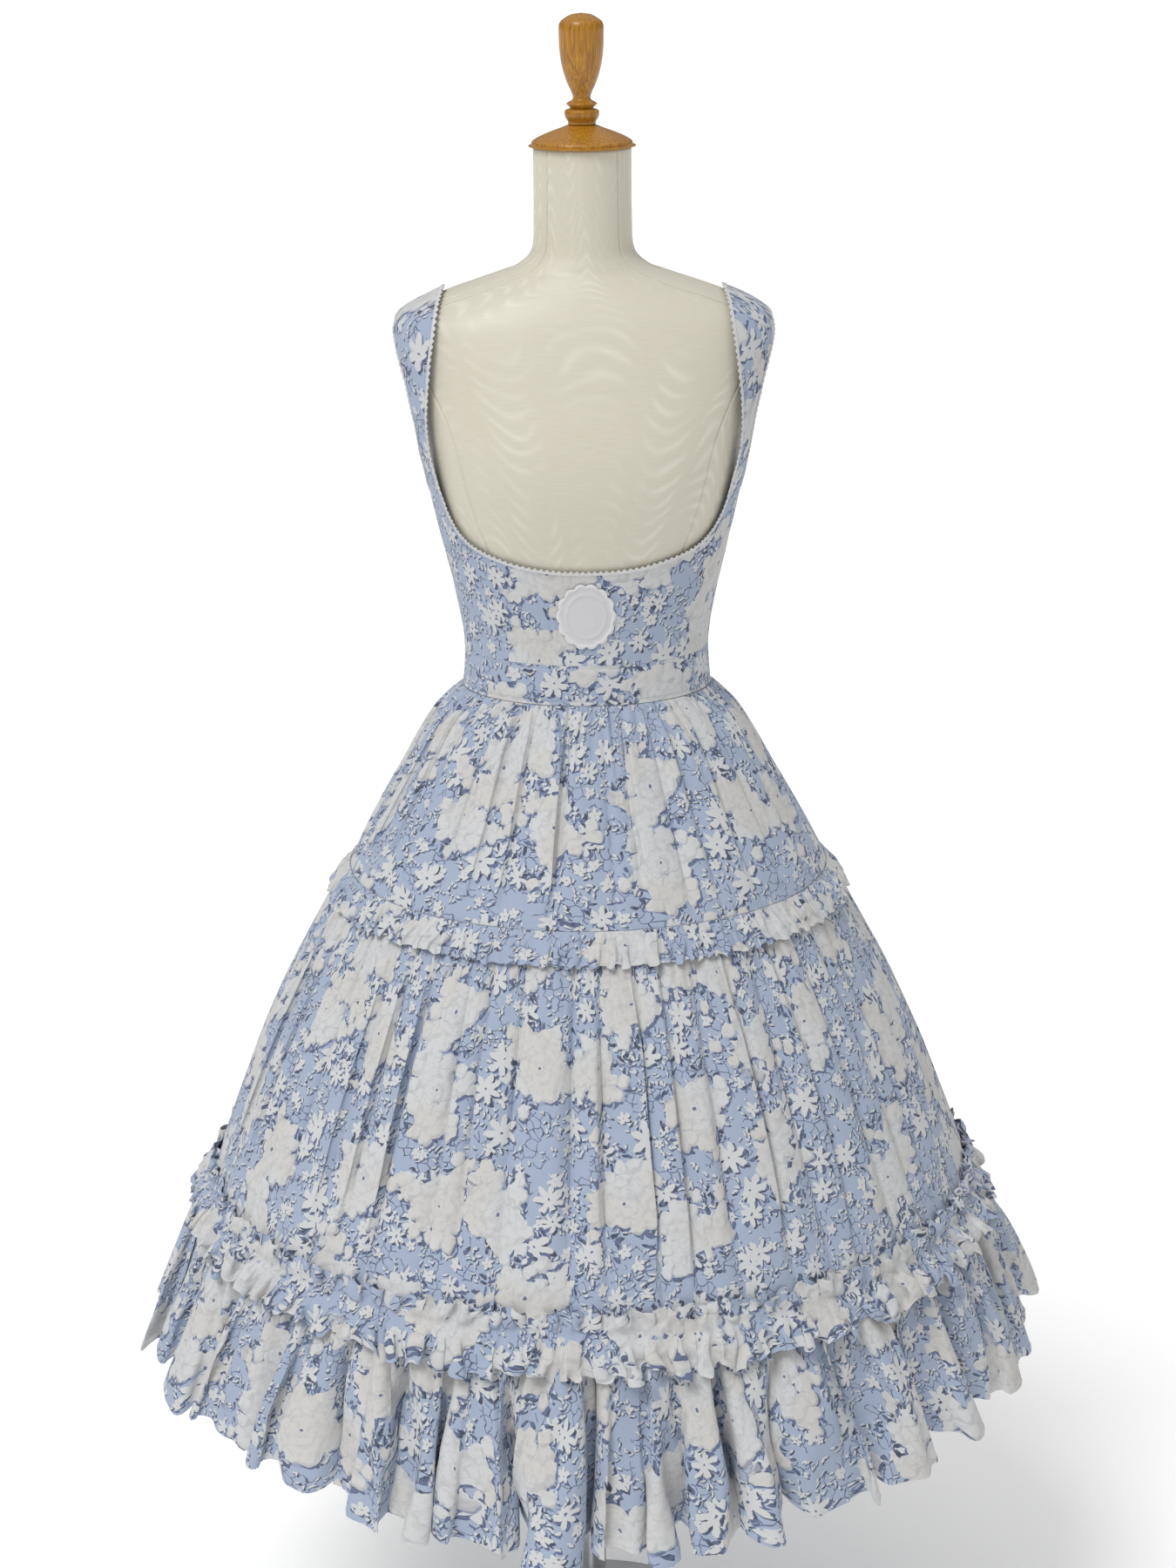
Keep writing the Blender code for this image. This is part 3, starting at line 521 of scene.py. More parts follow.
# Printed lawn: fine plain-woven cotton, matt with a faint bloom, roller printed. The print has
# banks of pale roses, open flowers, sprigs and twigs on a soft blue, with darker blue leaves
# and shades about them. Sizes are in millimetres of flat cloth.
ROSE_SPACING, ROSE_EDGE, ROSE_PETAL = 112.0, 33.5, 12.5
LEAF_SPACING, SPRIG_SIZE = 5.8, 19.0
TWIG_SPACING, TWIG_HALF_WIDTH, DRIFT_SIZE = 9.0, 0.42, 24.0
FRINGE_SPACING, FRINGE_PAST, BANK_LUMP = 9.0, 6.0, 30.0
WOBBLE_SIZE, WOBBLE = 9.0, 5.5
BLUSH_SIZE, RING_WOBBLE = 60.0, 7.0
SPRIG_FALL, BANK_FALL = 1.1, 2.3  # how far a shade lies to the lower right of its shape
EDGE, FINE_EDGE, TWIG_EDGE, LINE_EDGE = 0.6, 0.5, 0.4, 0.8  # how soft an ink's edge is
DRIFT_LEVEL = 0.52  # drifts lie where their noise is over this
GROUND, PETAL, PETAL_WARM = linear("9da9be"), linear("c7c8c9"), linear("c6c4c1")
SHADE, OUTLINE, VEIN = linear("606b88"), linear("444a5a"), linear("a9aaab")
lawn, tree, shader = blank_material("printed_cotton_lawn")
cloth = add(tree, "UVMap", {}, {"uv_map": "flat_cloth"})["UV"]
cloth_mm = add(tree, "VectorMath", {0: cloth, "Scale": 1000.0}, {"operation": "SCALE"})["Vector"]
wobble = add(tree, "TexNoise", {"Vector": cloth_mm, "Scale": 1.0 / WOBBLE_SIZE, "Detail": 2.0},
             {"noise_dimensions": "2D"})["Color"]
wobble = add(tree, "VectorMath", {0: wobble, 1: (0.5, 0.5, 0.5)},
             {"operation": "SUBTRACT"})["Vector"]
wobble = add(tree, "VectorMath", {0: wobble, "Scale": WOBBLE}, {"operation": "SCALE"})["Vector"]
drawn = add(tree, "VectorMath", {0: cloth_mm, 1: wobble})["Vector"]


def ink_over(under, colour, depth, softness, share=1.0):
    """Prints a colour where a shape's depth in mm is above nought, over a share of what is
    under it, with an edge this soft in mm."""
    ink = add(tree, "Math", {0: depth, 1: 1.0 / softness, 2: 0.5},
              {"operation": "MULTIPLY_ADD", "use_clamp": True})[0]
    ink = add(tree, "Math", {0: ink, 1: share}, {"operation": "MULTIPLY"})[0]
    return add(tree, "Mix", {0: ink, 6: under, 7: colour}, {"data_type": "RGBA"})[2]


def drifts(shift, size, low, high, least=0.0, most=1.0):
    """Soft clouds of this size in mm, from least to most where their noise is low to high;
    clouds with unlike shifts lie apart."""
    place = add(tree, "VectorMath", {0: drawn, 1: (*shift, 0.0)})["Vector"]
    cloud = add(tree, "TexNoise", {"Vector": place, "Scale": 1.0 / size, "Detail": 1.5},
                {"noise_dimensions": "2D"})["Fac"]
    return add(tree, "MapRange", {"Value": cloud, "From Min": low, "From Max": high,
                                  "To Min": least, "To Max": most})["Result"]


def where_chance(depth, chance, least):
    """A shape's depth only where a cell's chance is over the least, and outside elsewhere."""
    keep = add(tree, "Math", {0: chance, 1: least}, {"operation": "GREATER_THAN"})[0]
    keep = add(tree, "Math", {0: keep, 1: 60.0, 2: -60.0}, {"operation": "MULTIPLY_ADD"})[0]
    return add(tree, "Math", {0: depth, 1: keep}, {"operation": "ADD"})[0]


def in_drifts(depth, place, size):
    """A shape's depth only within soft drifts of this size in mm, and outside elsewhere."""
    drift = add(tree, "TexNoise", {"Vector": place, "Scale": 1.0 / size, "Detail": 1.5},
                {"noise_dimensions": "2D"})["Fac"]
    return where_chance(depth, drift, DRIFT_LEVEL)


def motif_cell(place, spacing, jitter):
    """One motif's cell: its chances, the way from its middle, how far out, and its middle."""
    cell = add(tree, "VectorMath", {0: place, "Scale": 1.0 / spacing}, {"operation": "SCALE"})[0]
    found = add(tree, "TexVoronoi", {"Vector": cell, "Scale": 1.0, "Randomness": jitter},
                {"voronoi_dimensions": "2D"})
    chances = add(tree, "SeparateColor", {"Color": found["Color"]})
    local = add(tree, "VectorMath", {0: cell, 1: found["Position"]}, {"operation": "SUBTRACT"})[0]
    out = add(tree, "Math", {0: found["Distance"], 1: spacing}, {"operation": "MULTIPLY"})[0]
    middle = add(tree, "VectorMath", {0: found["Position"], "Scale": spacing},
                 {"operation": "SCALE"})[0]
    return chances, local, out, middle


def open_flower(place, spacing, petals, reach, notch, slim, jitter):
    """An open flower in each cell: how far inside its edge in mm, chances, and how far out."""
    chances, local, out, _ = motif_cell(place, spacing, jitter)
    part = add(tree, "SeparateXYZ", {"Vector": local})
    turn = add(tree, "Math", {0: part["Y"], 1: part["X"]}, {"operation": "ARCTAN2"})[0]
    turn = add(tree, "Math", {0: chances["Red"], 1: 2.0 * math.pi, 2: turn},
               {"operation": "MULTIPLY_ADD"})[0]
    wave = add(tree, "Math", {0: turn, 1: petals / 2.0}, {"operation": "MULTIPLY"})[0]
    wave = add(tree, "Math", {0: wave}, {"operation": "COSINE"})[0]
    wave = add(tree, "Math", {0: wave}, {"operation": "ABSOLUTE"})[0]
    wave = add(tree, "Math", {0: wave, 1: slim}, {"operation": "POWER"})[0]
    edge = add(tree, "Math", {0: wave, 1: notch * reach, 2: (1.0 - notch) * reach},
               {"operation": "MULTIPLY_ADD"})[0]
    size = add(tree, "Math", {0: chances["Green"], 1: 0.6, 2: 0.62},
               {"operation": "MULTIPLY_ADD"})[0]
    edge = add(tree, "Math", {0: edge, 1: size}, {"operation": "MULTIPLY"})[0]
    inside = add(tree, "Math", {0: edge, 1: out}, {"operation": "SUBTRACT"})[0]
    return inside, chances, out


def leaves(place, spacing, narrow):
    """A narrow leaf in each cell: how far inside it a place is in mm, and the cell's middle."""
    chances, local, _, middle = motif_cell(place, spacing, 1.0)
    spin = add(tree, "Math", {0: chances["Red"], 1: 2.0 * math.pi}, {"operation": "MULTIPLY"})[0]
    leaf = add(tree, "VectorRotate", {"Vector": local, "Angle": spin},
               {"rotation_type": "Z_AXIS"})[0]
    leaf = add(tree, "VectorMath", {0: leaf, 1: (1.0, narrow, 1.0)}, {"operation": "MULTIPLY"})[0]
    out = add(tree, "VectorMath", {0: leaf}, {"operation": "LENGTH"})["Value"]
    inside = add(tree, "Math", {0: out, 1: -spacing, 2: 0.54 * spacing},
                 {"operation": "MULTIPLY_ADD"})[0]
    return inside, middle


def sprig_leaves(place):
    """Small leaves that keep to drifts: how far inside a leaf a place is, in mm."""
    inside, middle = leaves(place, LEAF_SPACING, 2.3)
    return in_drifts(inside, middle, SPRIG_SIZE)


def twigs(place):
    """Fine branching twigs that keep to drifts: how far inside a twig a place is, in mm."""
    cell = add(tree, "VectorMath", {0: place, "Scale": 1.0 / TWIG_SPACING},
               {"operation": "SCALE"})[0]
    gap = add(tree, "TexVoronoi", {"Vector": cell, "Scale": 1.0, "Randomness": 1.0},
              {"voronoi_dimensions": "2D", "feature": "DISTANCE_TO_EDGE"})["Distance"]
    inside = add(tree, "Math", {0: gap, 1: -TWIG_SPACING, 2: TWIG_HALF_WIDTH},
                 {"operation": "MULTIPLY_ADD"})[0]
    return in_drifts(inside, place, DRIFT_SIZE)


def bank_depth(place):
    """How far inside the nearest bank of roses a place is in mm, and how far from its middle."""
    _, _, far, _ = motif_cell(place, ROSE_SPACING, 0.8)
    lumps = add(tree, "TexNoise", {"Vector": place, "Scale": 1.0 / BANK_LUMP, "Detail": 1.0},
                {"noise_dimensions": "2D"})["Fac"]
    depth = add(tree, "Math", {0: lumps, 1: 76.0, 2: 34.0}, {"operation": "MULTIPLY_ADD"})[0]
    return add(tree, "Math", {0: depth, 1: far}, {"operation": "SUBTRACT"})[0], far


def rose_bank(place):
    """A bank of roses, whose round petals are each wholly in or out, about a solid middle:
    how far inside it a place is in mm, the way from the petal's middle and how far out on the
    petal, how deep in the bank, and how far from the bank's middle."""
    _, local, out, middle = motif_cell(place, ROSE_PETAL, 0.9)
    lump = add(tree, "Math", {0: bank_depth(middle)[0], 1: ROSE_EDGE},
               {"operation": "SUBTRACT"})[0]
    disc = add(tree, "Math", {0: 0.55 * ROSE_PETAL, 1: out}, {"operation": "SUBTRACT"})[0]
    petal = add(tree, "Math", {0: lump, 1: disc}, {"operation": "MINIMUM"})[0]
    depth, far = bank_depth(place)
    solid = add(tree, "Math", {0: depth, 1: ROSE_EDGE + 8.0}, {"operation": "SUBTRACT"})[0]
    inside = add(tree, "Math", {0: petal, 1: solid}, {"operation": "MAXIMUM"})[0]
    return inside, local, out, depth, far


# The dark ink goes from a grey blue to a darker slate in patches of about 6 mm
ink_tone = add(tree, "Mix", {0: drifts((70.0, 20.0), 6.0, 0.46, 0.60), 6: SHADE, 7: OUTLINE},
               {"data_type": "RGBA"})[2]
colour = ink_over(GROUND, ink_tone, twigs(drawn), TWIG_EDGE)
shaded = add(tree, "VectorMath", {0: drawn, 1: (-SPRIG_FALL, -SPRIG_FALL, 0.0)})["Vector"]
colour = ink_over(colour, ink_tone, sprig_leaves(shaded), FINE_EDGE)
leaf = add(tree, "Math", {0: sprig_leaves(drawn), 1: 0.75}, {"operation": "SUBTRACT"})[0]
colour = ink_over(colour, PETAL, leaf, FINE_EDGE)

# Two sizes of open flower, each over its own shade, which falls to the lower right of it
FLOWERS = (  # spacing, petals, reach, notch, slimness, jitter, least chance, fall, shift
    (17.0, 5.0, 6.6, 0.52, 1.0, 1.0, 0.66, 1.3, 311.0),
    (33.0, 7.0, 15.5, 0.58, 1.3, 0.9, 0.50, 2.2, 97.0),
)
for spacing, petals, reach, notch, slim, jitter, least, fall, shift in FLOWERS:
    place = add(tree, "VectorMath", {0: drawn, 1: (shift, shift, 0.0)})["Vector"]
    shaded = add(tree, "VectorMath", {0: place, 1: (-fall, -fall, 0.0)})["Vector"]
    depth, chances, _ = open_flower(shaded, spacing, petals, reach, notch, slim, jitter)
    depth = where_chance(depth, chances["Blue"], least)
    colour = ink_over(colour, ink_tone, depth, EDGE)
    depth, chances, out = open_flower(place, spacing, petals, reach, notch, slim, jitter)
    depth = where_chance(depth, chances["Blue"], least)
    colour = ink_over(colour, PETAL, depth, EDGE)
    eye = add(tree, "Math", {0: 0.075 * reach, 1: out}, {"operation": "SUBTRACT"})[0]
    eye = add(tree, "Math", {0: eye, 1: depth}, {"operation": "MINIMUM"})[0]
    colour = ink_over(colour, SHADE, eye, EDGE)

# Dark leaves stand round the banks of roses, and a broken shade lies under their lower right
fringe, middle = leaves(drawn, FRINGE_SPACING, 2.7)
fringe = where_chance(fringe, bank_depth(middle)[0], ROSE_EDGE - FRINGE_PAST)
colour = ink_over(colour, ink_tone, fringe, FINE_EDGE)
shaded = add(tree, "VectorMath", {0: drawn, 1: (-BANK_FALL, -BANK_FALL, 0.0)})["Vector"]
broken = drifts((13.0, 55.0), 9.0, 0.40, 0.52, least=0.20)
colour = ink_over(colour, SHADE, rose_bank(shaded)[0], EDGE, broken)
inside, local, out, depth, far = rose_bank(drawn)
blush = add(tree, "TexNoise", {"Vector": cloth_mm, "Scale": 1.0 / BLUSH_SIZE, "Detail": 1.5},
            {"noise_dimensions": "2D"})["Fac"]
blush = add(tree, "MapRange", {"Value": blush, "From Min": 0.45, "From Max": 0.62})["Result"]
petal_tone = add(tree, "Mix", {0: blush, 6: PETAL, 7: PETAL_WARM}, {"data_type": "RGBA"})[2]
colour = ink_over(colour, petal_tone, inside, EDGE)
cloudy = drifts((5.0, 9.0), 7.0, 0.50, 0.72, most=0.34)
colour = ink_over(colour, VEIN, inside, EDGE, cloudy)

# Drawn lines: the lower right rim of each petal, strongest near the bank's edge, and rings
# of petals about the middle of each rose
rim = add(tree, "VectorMath", {0: local, 1: (0.7, 0.7, 0.0)},
          {"operation": "DOT_PRODUCT"})["Value"]
rim = add(tree, "Math", {0: rim, 1: 9.0, 2: -0.6},
          {"operation": "MULTIPLY_ADD", "use_clamp": True})[0]
line = add(tree, "Math", {0: out, 1: 0.4 * ROSE_PETAL}, {"operation": "SUBTRACT"})[0]
line = add(tree, "Math", {0: line, 1: 1.0 / LINE_EDGE, 2: 0.5},
           {"operation": "MULTIPLY_ADD", "use_clamp": True})[0]
line = add(tree, "Math", {0: line, 1: rim}, {"operation": "MULTIPLY"})[0]
near_edge = add(tree, "MapRange", {"Value": depth, "From Min": ROSE_EDGE + 4.0,
                                   "From Max": ROSE_EDGE + 24.0, "To Min": 0.8, "To Max": 0.18})[0]
line = add(tree, "Math", {0: line, 1: near_edge}, {"operation": "MULTIPLY"})[0]
colour = ink_over(colour, VEIN, inside, EDGE, line)
ring = add(tree, "TexNoise", {"Vector": drawn, "Scale": 1.0 / RING_WOBBLE, "Detail": 1.5},
           {"noise_dimensions": "2D"})["Fac"]
ring = add(tree, "Math", {0: ring, 1: RING_WOBBLE}, {"operation": "MULTIPLY"})[0]
ring = add(tree, "Math", {0: far, 1: 0.78, 2: ring}, {"operation": "MULTIPLY_ADD"})[0]
ring = add(tree, "Math", {0: ring}, {"operation": "SINE"})[0]
ring = add(tree, "Math", {0: ring, 1: 4.0, 2: -3.1},
           {"operation": "MULTIPLY_ADD", "use_clamp": True})[0]
inner = add(tree, "MapRange", {"Value": far, "From Min": 20.0, "From Max": 30.0,
                               "To Min": 0.45, "To Max": 0.0})["Result"]
ring = add(tree, "Math", {0: ring, 1: inner}, {"operation": "MULTIPLY"})[0]
colour = add(tree, "Mix", {0: ring, 6: colour, 7: VEIN}, {"data_type": "RGBA"})[2]
eye = add(tree, "Math", {0: 1.5, 1: far}, {"operation": "SUBTRACT"})[0]
colour = ink_over(colour, SHADE, eye, EDGE)
tree.links.new(colour, shader.inputs["Base Color"])

# The threads are 0.2 mm apart, too fine to show, so the weave is drawn as slubs of 0.9 mm,
# over the soft crumple of cloth that has been worn.
SLUB_SIZE, CRUMPLE_SIZE = 0.9, 16.0
slubs = add(tree, "TexNoise", {"Vector": cloth_mm, "Scale": 1.0 / SLUB_SIZE, "Detail": 1.0},
            {"noise_dimensions": "2D"})["Fac"]
crumple = add(tree, "TexNoise", {"Vector": cloth_mm, "Scale": 1.0 / CRUMPLE_SIZE, "Detail": 3.0},
              {"noise_dimensions": "2D"})["Fac"]
relief = add(tree, "Math", {0: crumple, 1: 9.0, 2: slubs}, {"operation": "MULTIPLY_ADD"})[0]
bump = add(tree, "Bump", {"Height": relief, "Strength": 0.55, "Distance": 0.00028})["Normal"]
tree.links.new(bump, shader.inputs["Normal"])
shader.inputs["Roughness"].default_value = 0.85
shader.inputs["Sheen Weight"].default_value = 0.12
shader.inputs["Sheen Roughness"].default_value = 0.5


def angle_at(half_width, height, side):
    """The angle from the side line at which the form is that wide; side is 1 behind."""
    widest, _, _, squareness = read_table(FORM_SECTIONS, height)
    share = min(half_width / widest, 1.0)
    return side * math.acos(share ** (squareness / 2.0))


def bodice_spot(table, behind, share, across):
    """Angle and height on the form, down the half by share and across from the neckline."""
    numbered = [(index, *row) for index, row in enumerate(table)]
    row = read_table(numbered, share * (len(table) - 1))
    half_width, neck_height, edge_degrees, edge_height = row
    side = 1 if behind else -1
    neck_angle = 0.0 if share == 0.0 else angle_at(half_width, neck_height, side)
    edge_angle = side * math.radians(edge_degrees)
    angle = neck_angle + (edge_angle - neck_angle) * across
    height = neck_height + (edge_height - neck_height) * across
    if share == 1.0:
        angle = side * math.pi / 2.0
    return angle, height


def bodice_point(table, behind, left, share, across, lift):
    """A point of a bodice half, lifted past the air that its cloth keeps from the form."""
    angle, height = bodice_spot(table, behind, share, across)
    air = read_table(STRAP_AIR, height)[0]
    point = on_form(angle, height, air + lift)
    if left:
        point.x = -point.x
    return point


def creases(point, size, height):
    """Small soft creases of worn cloth, as a lift in metres."""
    rough = noise.noise(point / size) + 0.5 * noise.noise(point * 2.3 / size)
    return rough * height


def worn_lift(table, behind, left, share, across, air):
    """How far cloth stands off here: its wall, the air under it and the creases of wear."""
    smooth = bodice_point(table, behind, left, share, across, 0.0)
    return CLOTH_WALL + air + creases(smooth, CREASE_SIZE, CREASE_HEIGHT)


def front_half(across):
    """Whether a place on the front is left of its middle, and its share down that half."""
    left = across > 0.5
    return left, min((1.0 - across if left else across) * 2.0, 1.0)


def front_place(across, down):
    left, share = front_half(across)
    lift = worn_lift(FRONT_BODICE, False, left, share, down, BODICE_AIR)
    point = bodice_point(FRONT_BODICE, False, left, share, down, lift)
    return point + Vector((0.0, -HALF_SEAM, 0.0))


def front_flat(across, down):
    left, share = front_half(across)
    angle, height = bodice_spot(FRONT_BODICE, False, share, down)
    u = FLAT_RADIUS * (angle + math.pi / 2.0)
    return (-u if left else u, FLAT_TOP - height)


def back_place_for(left):
    def place(across, down):
        lift = worn_lift(BACK_BODICE, True, left, across, down, BODICE_AIR)
        point = bodice_point(BACK_BODICE, True, left, across, down, lift)
        return point + Vector((-HALF_SEAM if left else HALF_SEAM, HALF_SEAM, 0.0))

    return place


def back_flat_for(left):
    def flat(across, down):
        angle, height = bodice_spot(BACK_BODICE, True, across, down)
        u = FLAT_RADIUS * angle
        return (-u - BACKS_APART if left else u, FLAT_TOP - height)

    return flat


bodice_front = fabric_sheet(
    "bodice_front_cloth", 2 * BODICE_COLUMNS, BODICE_ROWS, front_place, lawn, CLOTH_WALL,
    flat=front_flat,
)
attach(bodice_front, "root")
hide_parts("bodice_front")
for name, left in (("right", False), ("left", True)):
    half = fabric_sheet(
        f"bodice_back_{name}_cloth", BODICE_COLUMNS, BODICE_ROWS, back_place_for(left), lawn,
        CLOTH_WALL, flat=back_flat_for(left),
    )
    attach(half, "root")
    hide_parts(f"bodice_back_{name}")


# Edging: a narrow bleached cotton braid with small loops along its free side, folded over the
# raw edges of the neckline and armholes and sewn down.
EDGING_ON, EDGING_PAST, LOOP_PITCH = 0.0016, 0.0028, 0.0046
EDGING_WALL, EDGING_AIR = 0.0008, 0.0013
EDGING_RUNS = (  # kind, share across the half, share down at its end, metres long
    ("neck", 0.0, 1.0, 0.32), ("armhole", 1.0, 0.5, 0.17),
)
COLUMNS_PER_LOOP, EDGING_ROWS = 6, 3

# Bleached cotton braid: matt and soft white, with slanting plaits in relief, a painted highlight
# on each plait's crest and painted shade in the grooves between
BRAID_PITCH = 1.6  # mm between the braid's plaits
cotton_braid, tree, shader = blank_material("bleached_cotton_braid")
braid_map = add(tree, "UVMap", {}, {"uv_map": "flat_cloth"})["UV"]
plait = add(tree, "VectorMath", {0: braid_map, 1: (2000.0 * math.pi / BRAID_PITCH, 3000.0, 0.0)},
            {"operation": "DOT_PRODUCT"})["Value"]
plait = add(tree, "Math", {0: plait}, {"operation": "SINE"})[0]
# Painted light: the colour follows the plaits' relief, a painted highlight on the crests and
# painted shade in the grooves
tone = add(tree, "MapRange", {"Value": plait, "From Min": -1.0})["Result"]
tone = add(tree, "Mix", {0: tone, 6: linear("c8c8c9"), 7: linear("dededd")},
           {"data_type": "RGBA"})[2]
tree.links.new(tone, shader.inputs["Base Color"])
bump = add(tree, "Bump", {"Height": plait, "Strength": 0.5, "Distance": 0.0003})["Normal"]
tree.links.new(bump, shader.inputs["Normal"])
shader.inputs["Roughness"].default_value = 0.8


def edging_place_for(table, behind, left, edge, end, loop_count):
    """Places for one run of edging; it starts on the shoulder and ends at a share down."""
    def place(across, down):
        share = across * end
        beside = edge + (0.03 if edge == 0.0 else -0.03)
        lift = worn_lift(table, behind, left, share, edge, EDGING_AIR)
        rim = bodice_point(table, behind, left, share, edge, lift)
        past = (rim - bodice_point(table, behind, left, share, beside, lift)).normalized()
        loop = 0.5 - 0.5 * math.cos(2.0 * math.pi * loop_count * across)
        reach = -EDGING_ON + (EDGING_ON + EDGING_PAST * (0.15 + 0.85 * loop)) * down
        return rim + past * reach

    return place


edgings = {}
for behind, table in ((False, FRONT_BODICE), (True, BACK_BODICE)):
    for left in (False, True):
        for kind, edge, end, length in EDGING_RUNS:
            loop_count = round(length / LOOP_PITCH)
            name = f"{kind}_edging_{'back' if behind else 'front'}_{'left' if left else 'right'}"
            place = edging_place_for(table, behind, left, edge, end, loop_count)
            run = fabric_sheet(
                name, loop_count * COLUMNS_PER_LOOP, EDGING_ROWS, place, cotton_braid, EDGING_WALL,
            )
            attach(run, "root")
            edgings.setdefault((behind, left), []).append(run)


# Patch: a small round applique of white cotton, cut with a scalloped edge, corded round its
# rim with satin stitch and sewn to the middle of the bodice.
PATCH_WIDTH, PATCH_HEIGHT, PATCH_CENTRE = 0.056, 0.068, 0.091
PATCH_SCALLOPS, SCALLOP_DEPTH = 14, 0.085
PATCH_RINGS, RING_INSET = 24, 0.0385
PATCH_CORDS = (  # share of the way out, half width as a share, height
    (0.93, 0.045, 0.0011), (0.66, 0.035, 0.0007),
)
PATCH_WALL, PATCH_AIR = 0.0010, 0.0022

# White cotton twill: bleached and matt, with fine slanting ribs, and a paler satin-stitched
# rim. The twill's ribs are drawn 1.3 mm apart, about twice as coarse as they are, to show.
RIM_STITCHES, TWILL_PITCH = 150, 1.3  # satin stitches round the rim, mm between twill lines
white_cotton, tree, shader = blank_material("white_cotton_twill")
patch_map = add(tree, "UVMap", {}, {"uv_map": "flat_cloth"})["UV"]
slant = 2000.0 * math.pi / TWILL_PITCH
rib = add(tree, "VectorMath", {0: patch_map, 1: (slant, slant, 0.0)},
          {"operation": "DOT_PRODUCT"})["Value"]
rib = add(tree, "Math", {0: rib}, {"operation": "SINE"})[0]
patch_map = add(tree, "Mapping", {"Vector": patch_map, "Scale": (
    2.0 / PATCH_WIDTH, 2.0 / PATCH_HEIGHT, 1.0)})["Vector"]
part = add(tree, "SeparateXYZ", {"Vector": patch_map})
turn = add(tree, "Math", {0: part["Y"], 1: part["X"]}, {"operation": "ARCTAN2"})[0]
stitch = add(tree, "Math", {0: turn, 1: float(RIM_STITCHES)}, {"operation": "MULTIPLY"})[0]
stitch = add(tree, "Math", {0: stitch}, {"operation": "SINE"})[0]
out = add(tree, "VectorMath", {0: patch_map}, {"operation": "LENGTH"})["Value"]
on_rim = add(tree, "MapRange", {"Value": out, "From Min": 0.84, "From Max": 0.87})["Result"]
relief = add(tree, "Mix", {0: on_rim, 2: rib, 3: stitch}, {"data_type": "FLOAT"})[0]
bump = add(tree, "Bump", {"Height": relief, "Strength": 0.5, "Distance": 0.00035})["Normal"]
tree.links.new(bump, shader.inputs["Normal"])
tone = add(tree, "Mix", {0: on_rim, 6: linear("d5d5d7"), 7: linear("dddddf")},
           {"data_type": "RGBA"})[2]
tree.links.new(tone, shader.inputs["Base Color"])
shader.inputs["Roughness"].default_value = 0.82

maker = bmesh.new()
bmesh.ops.create_circle(maker, cap_ends=True, segments=PATCH_SCALLOPS * 12, radius=1.0)
for _ in range(PATCH_RINGS):
    middle = max(maker.faces, key=lambda face: len(face.verts))
    bmesh.ops.inset_region(maker, faces=[middle], thickness=RING_INSET, use_boundary=True)
middle = max(maker.faces, key=lambda face: len(face.verts))
bmesh.ops.poke(maker, faces=[middle])
layer = maker.loops.layers.uv.new("flat_cloth")
for face in maker.faces:
    for loop in face.loops:
        loop[layer].uv = (loop.vert.co.x * PATCH_WIDTH / 2, loop.vert.co.y * PATCH_HEIGHT / 2)
for vert in maker.verts:
    turn = math.atan2(vert.co.y, vert.co.x)
    reach = min(vert.co.xy.length, 1.0)
    notch = 1.0 - abs(math.cos(turn * PATCH_SCALLOPS / 2.0))
    edge = 1.0 - SCALLOP_DEPTH * notch * reach**6
    across = vert.co.x * edge * PATCH_WIDTH / 2.0
    height = PATCH_CENTRE + vert.co.y * edge * PATCH_HEIGHT / 2.0
    angle = angle_at(abs(across), height, -1)
    if across < 0.0:
        angle = -math.pi - angle
    air = read_table(STRAP_AIR, height)[0] + CLOTH_WALL + PATCH_AIR
    for way_out, half_width, cord_height in PATCH_CORDS:
        air += cord_height * math.exp(-(((reach - way_out) / half_width) ** 2))
    vert.co = on_form(angle, height, air) + Vector((0.0, 0.0, WAIST_HEIGHT))
maker.normal_update()
if sum(face.normal.y for face in maker.faces) > 0.0:
    bmesh.ops.reverse_faces(maker, faces=maker.faces)
patch = thickened(as_object("scalloped_patch", maker, white_cotton), PATCH_WALL)
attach(patch, "root")
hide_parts("bodice_patch")


# Waistband: a straight strip of the same lawn, doubled, sewn between the bodice and the
# skirt, which is gathered into its lower edge. A row of stitching dimples it near each edge.
WAISTBAND_WIDTH = 0.040
BAND_EASE, BAND_AIR = 0.0018, 0.0003
BAND_CREASE_SIZE, BAND_CREASE_HEIGHT = 0.022, 0.0005
STITCH_INSET, STITCH_DEPTH, STITCH_HALF_WIDTH = 0.0035, 0.0007, 0.0010
WAISTBAND_PIECES = (  # name, degrees at its start and end, way off its seams, length, columns
    ("front", -172.0, -8.0, (0.0, -HALF_SEAM, 0.0), 0.31, 100),
    ("back_right", -8.0, 90.0, (HALF_SEAM, HALF_SEAM, 0.0), 0.18, 60),
    ("back_left", 90.0, 188.0, (-HALF_SEAM, HALF_SEAM, 0.0), 0.18, 60),
)
BAND_ROWS = 36


def band_place_for(start, end, shift):
    def place(across, down):
        angle = math.radians(start + (end - start) * across)
        height = HALF_SEAM + (WAISTBAND_WIDTH - 2.0 * HALF_SEAM) * (1.0 - down)
        smooth = on_form(angle, height, BAND_EASE)
        lift = BAND_EASE + CLOTH_WALL + BAND_AIR
        lift += creases(smooth, BAND_CREASE_SIZE, BAND_CREASE_HEIGHT)
        beside = min(height, WAISTBAND_WIDTH - height)
        lift -= STITCH_DEPTH * math.exp(-(((beside - STITCH_INSET) / STITCH_HALF_WIDTH) ** 2))
        return on_form(angle, height, lift) + shift

    return place


for name, start, end, shift, length, columns in WAISTBAND_PIECES:
    place = band_place_for(start, end, Vector(shift))
    band = fabric_sheet(f"waistband_{name}_cloth", columns, BAND_ROWS, place, lawn, CLOTH_WALL)
    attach(band, "root")
    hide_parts(f"waistband_{name}")


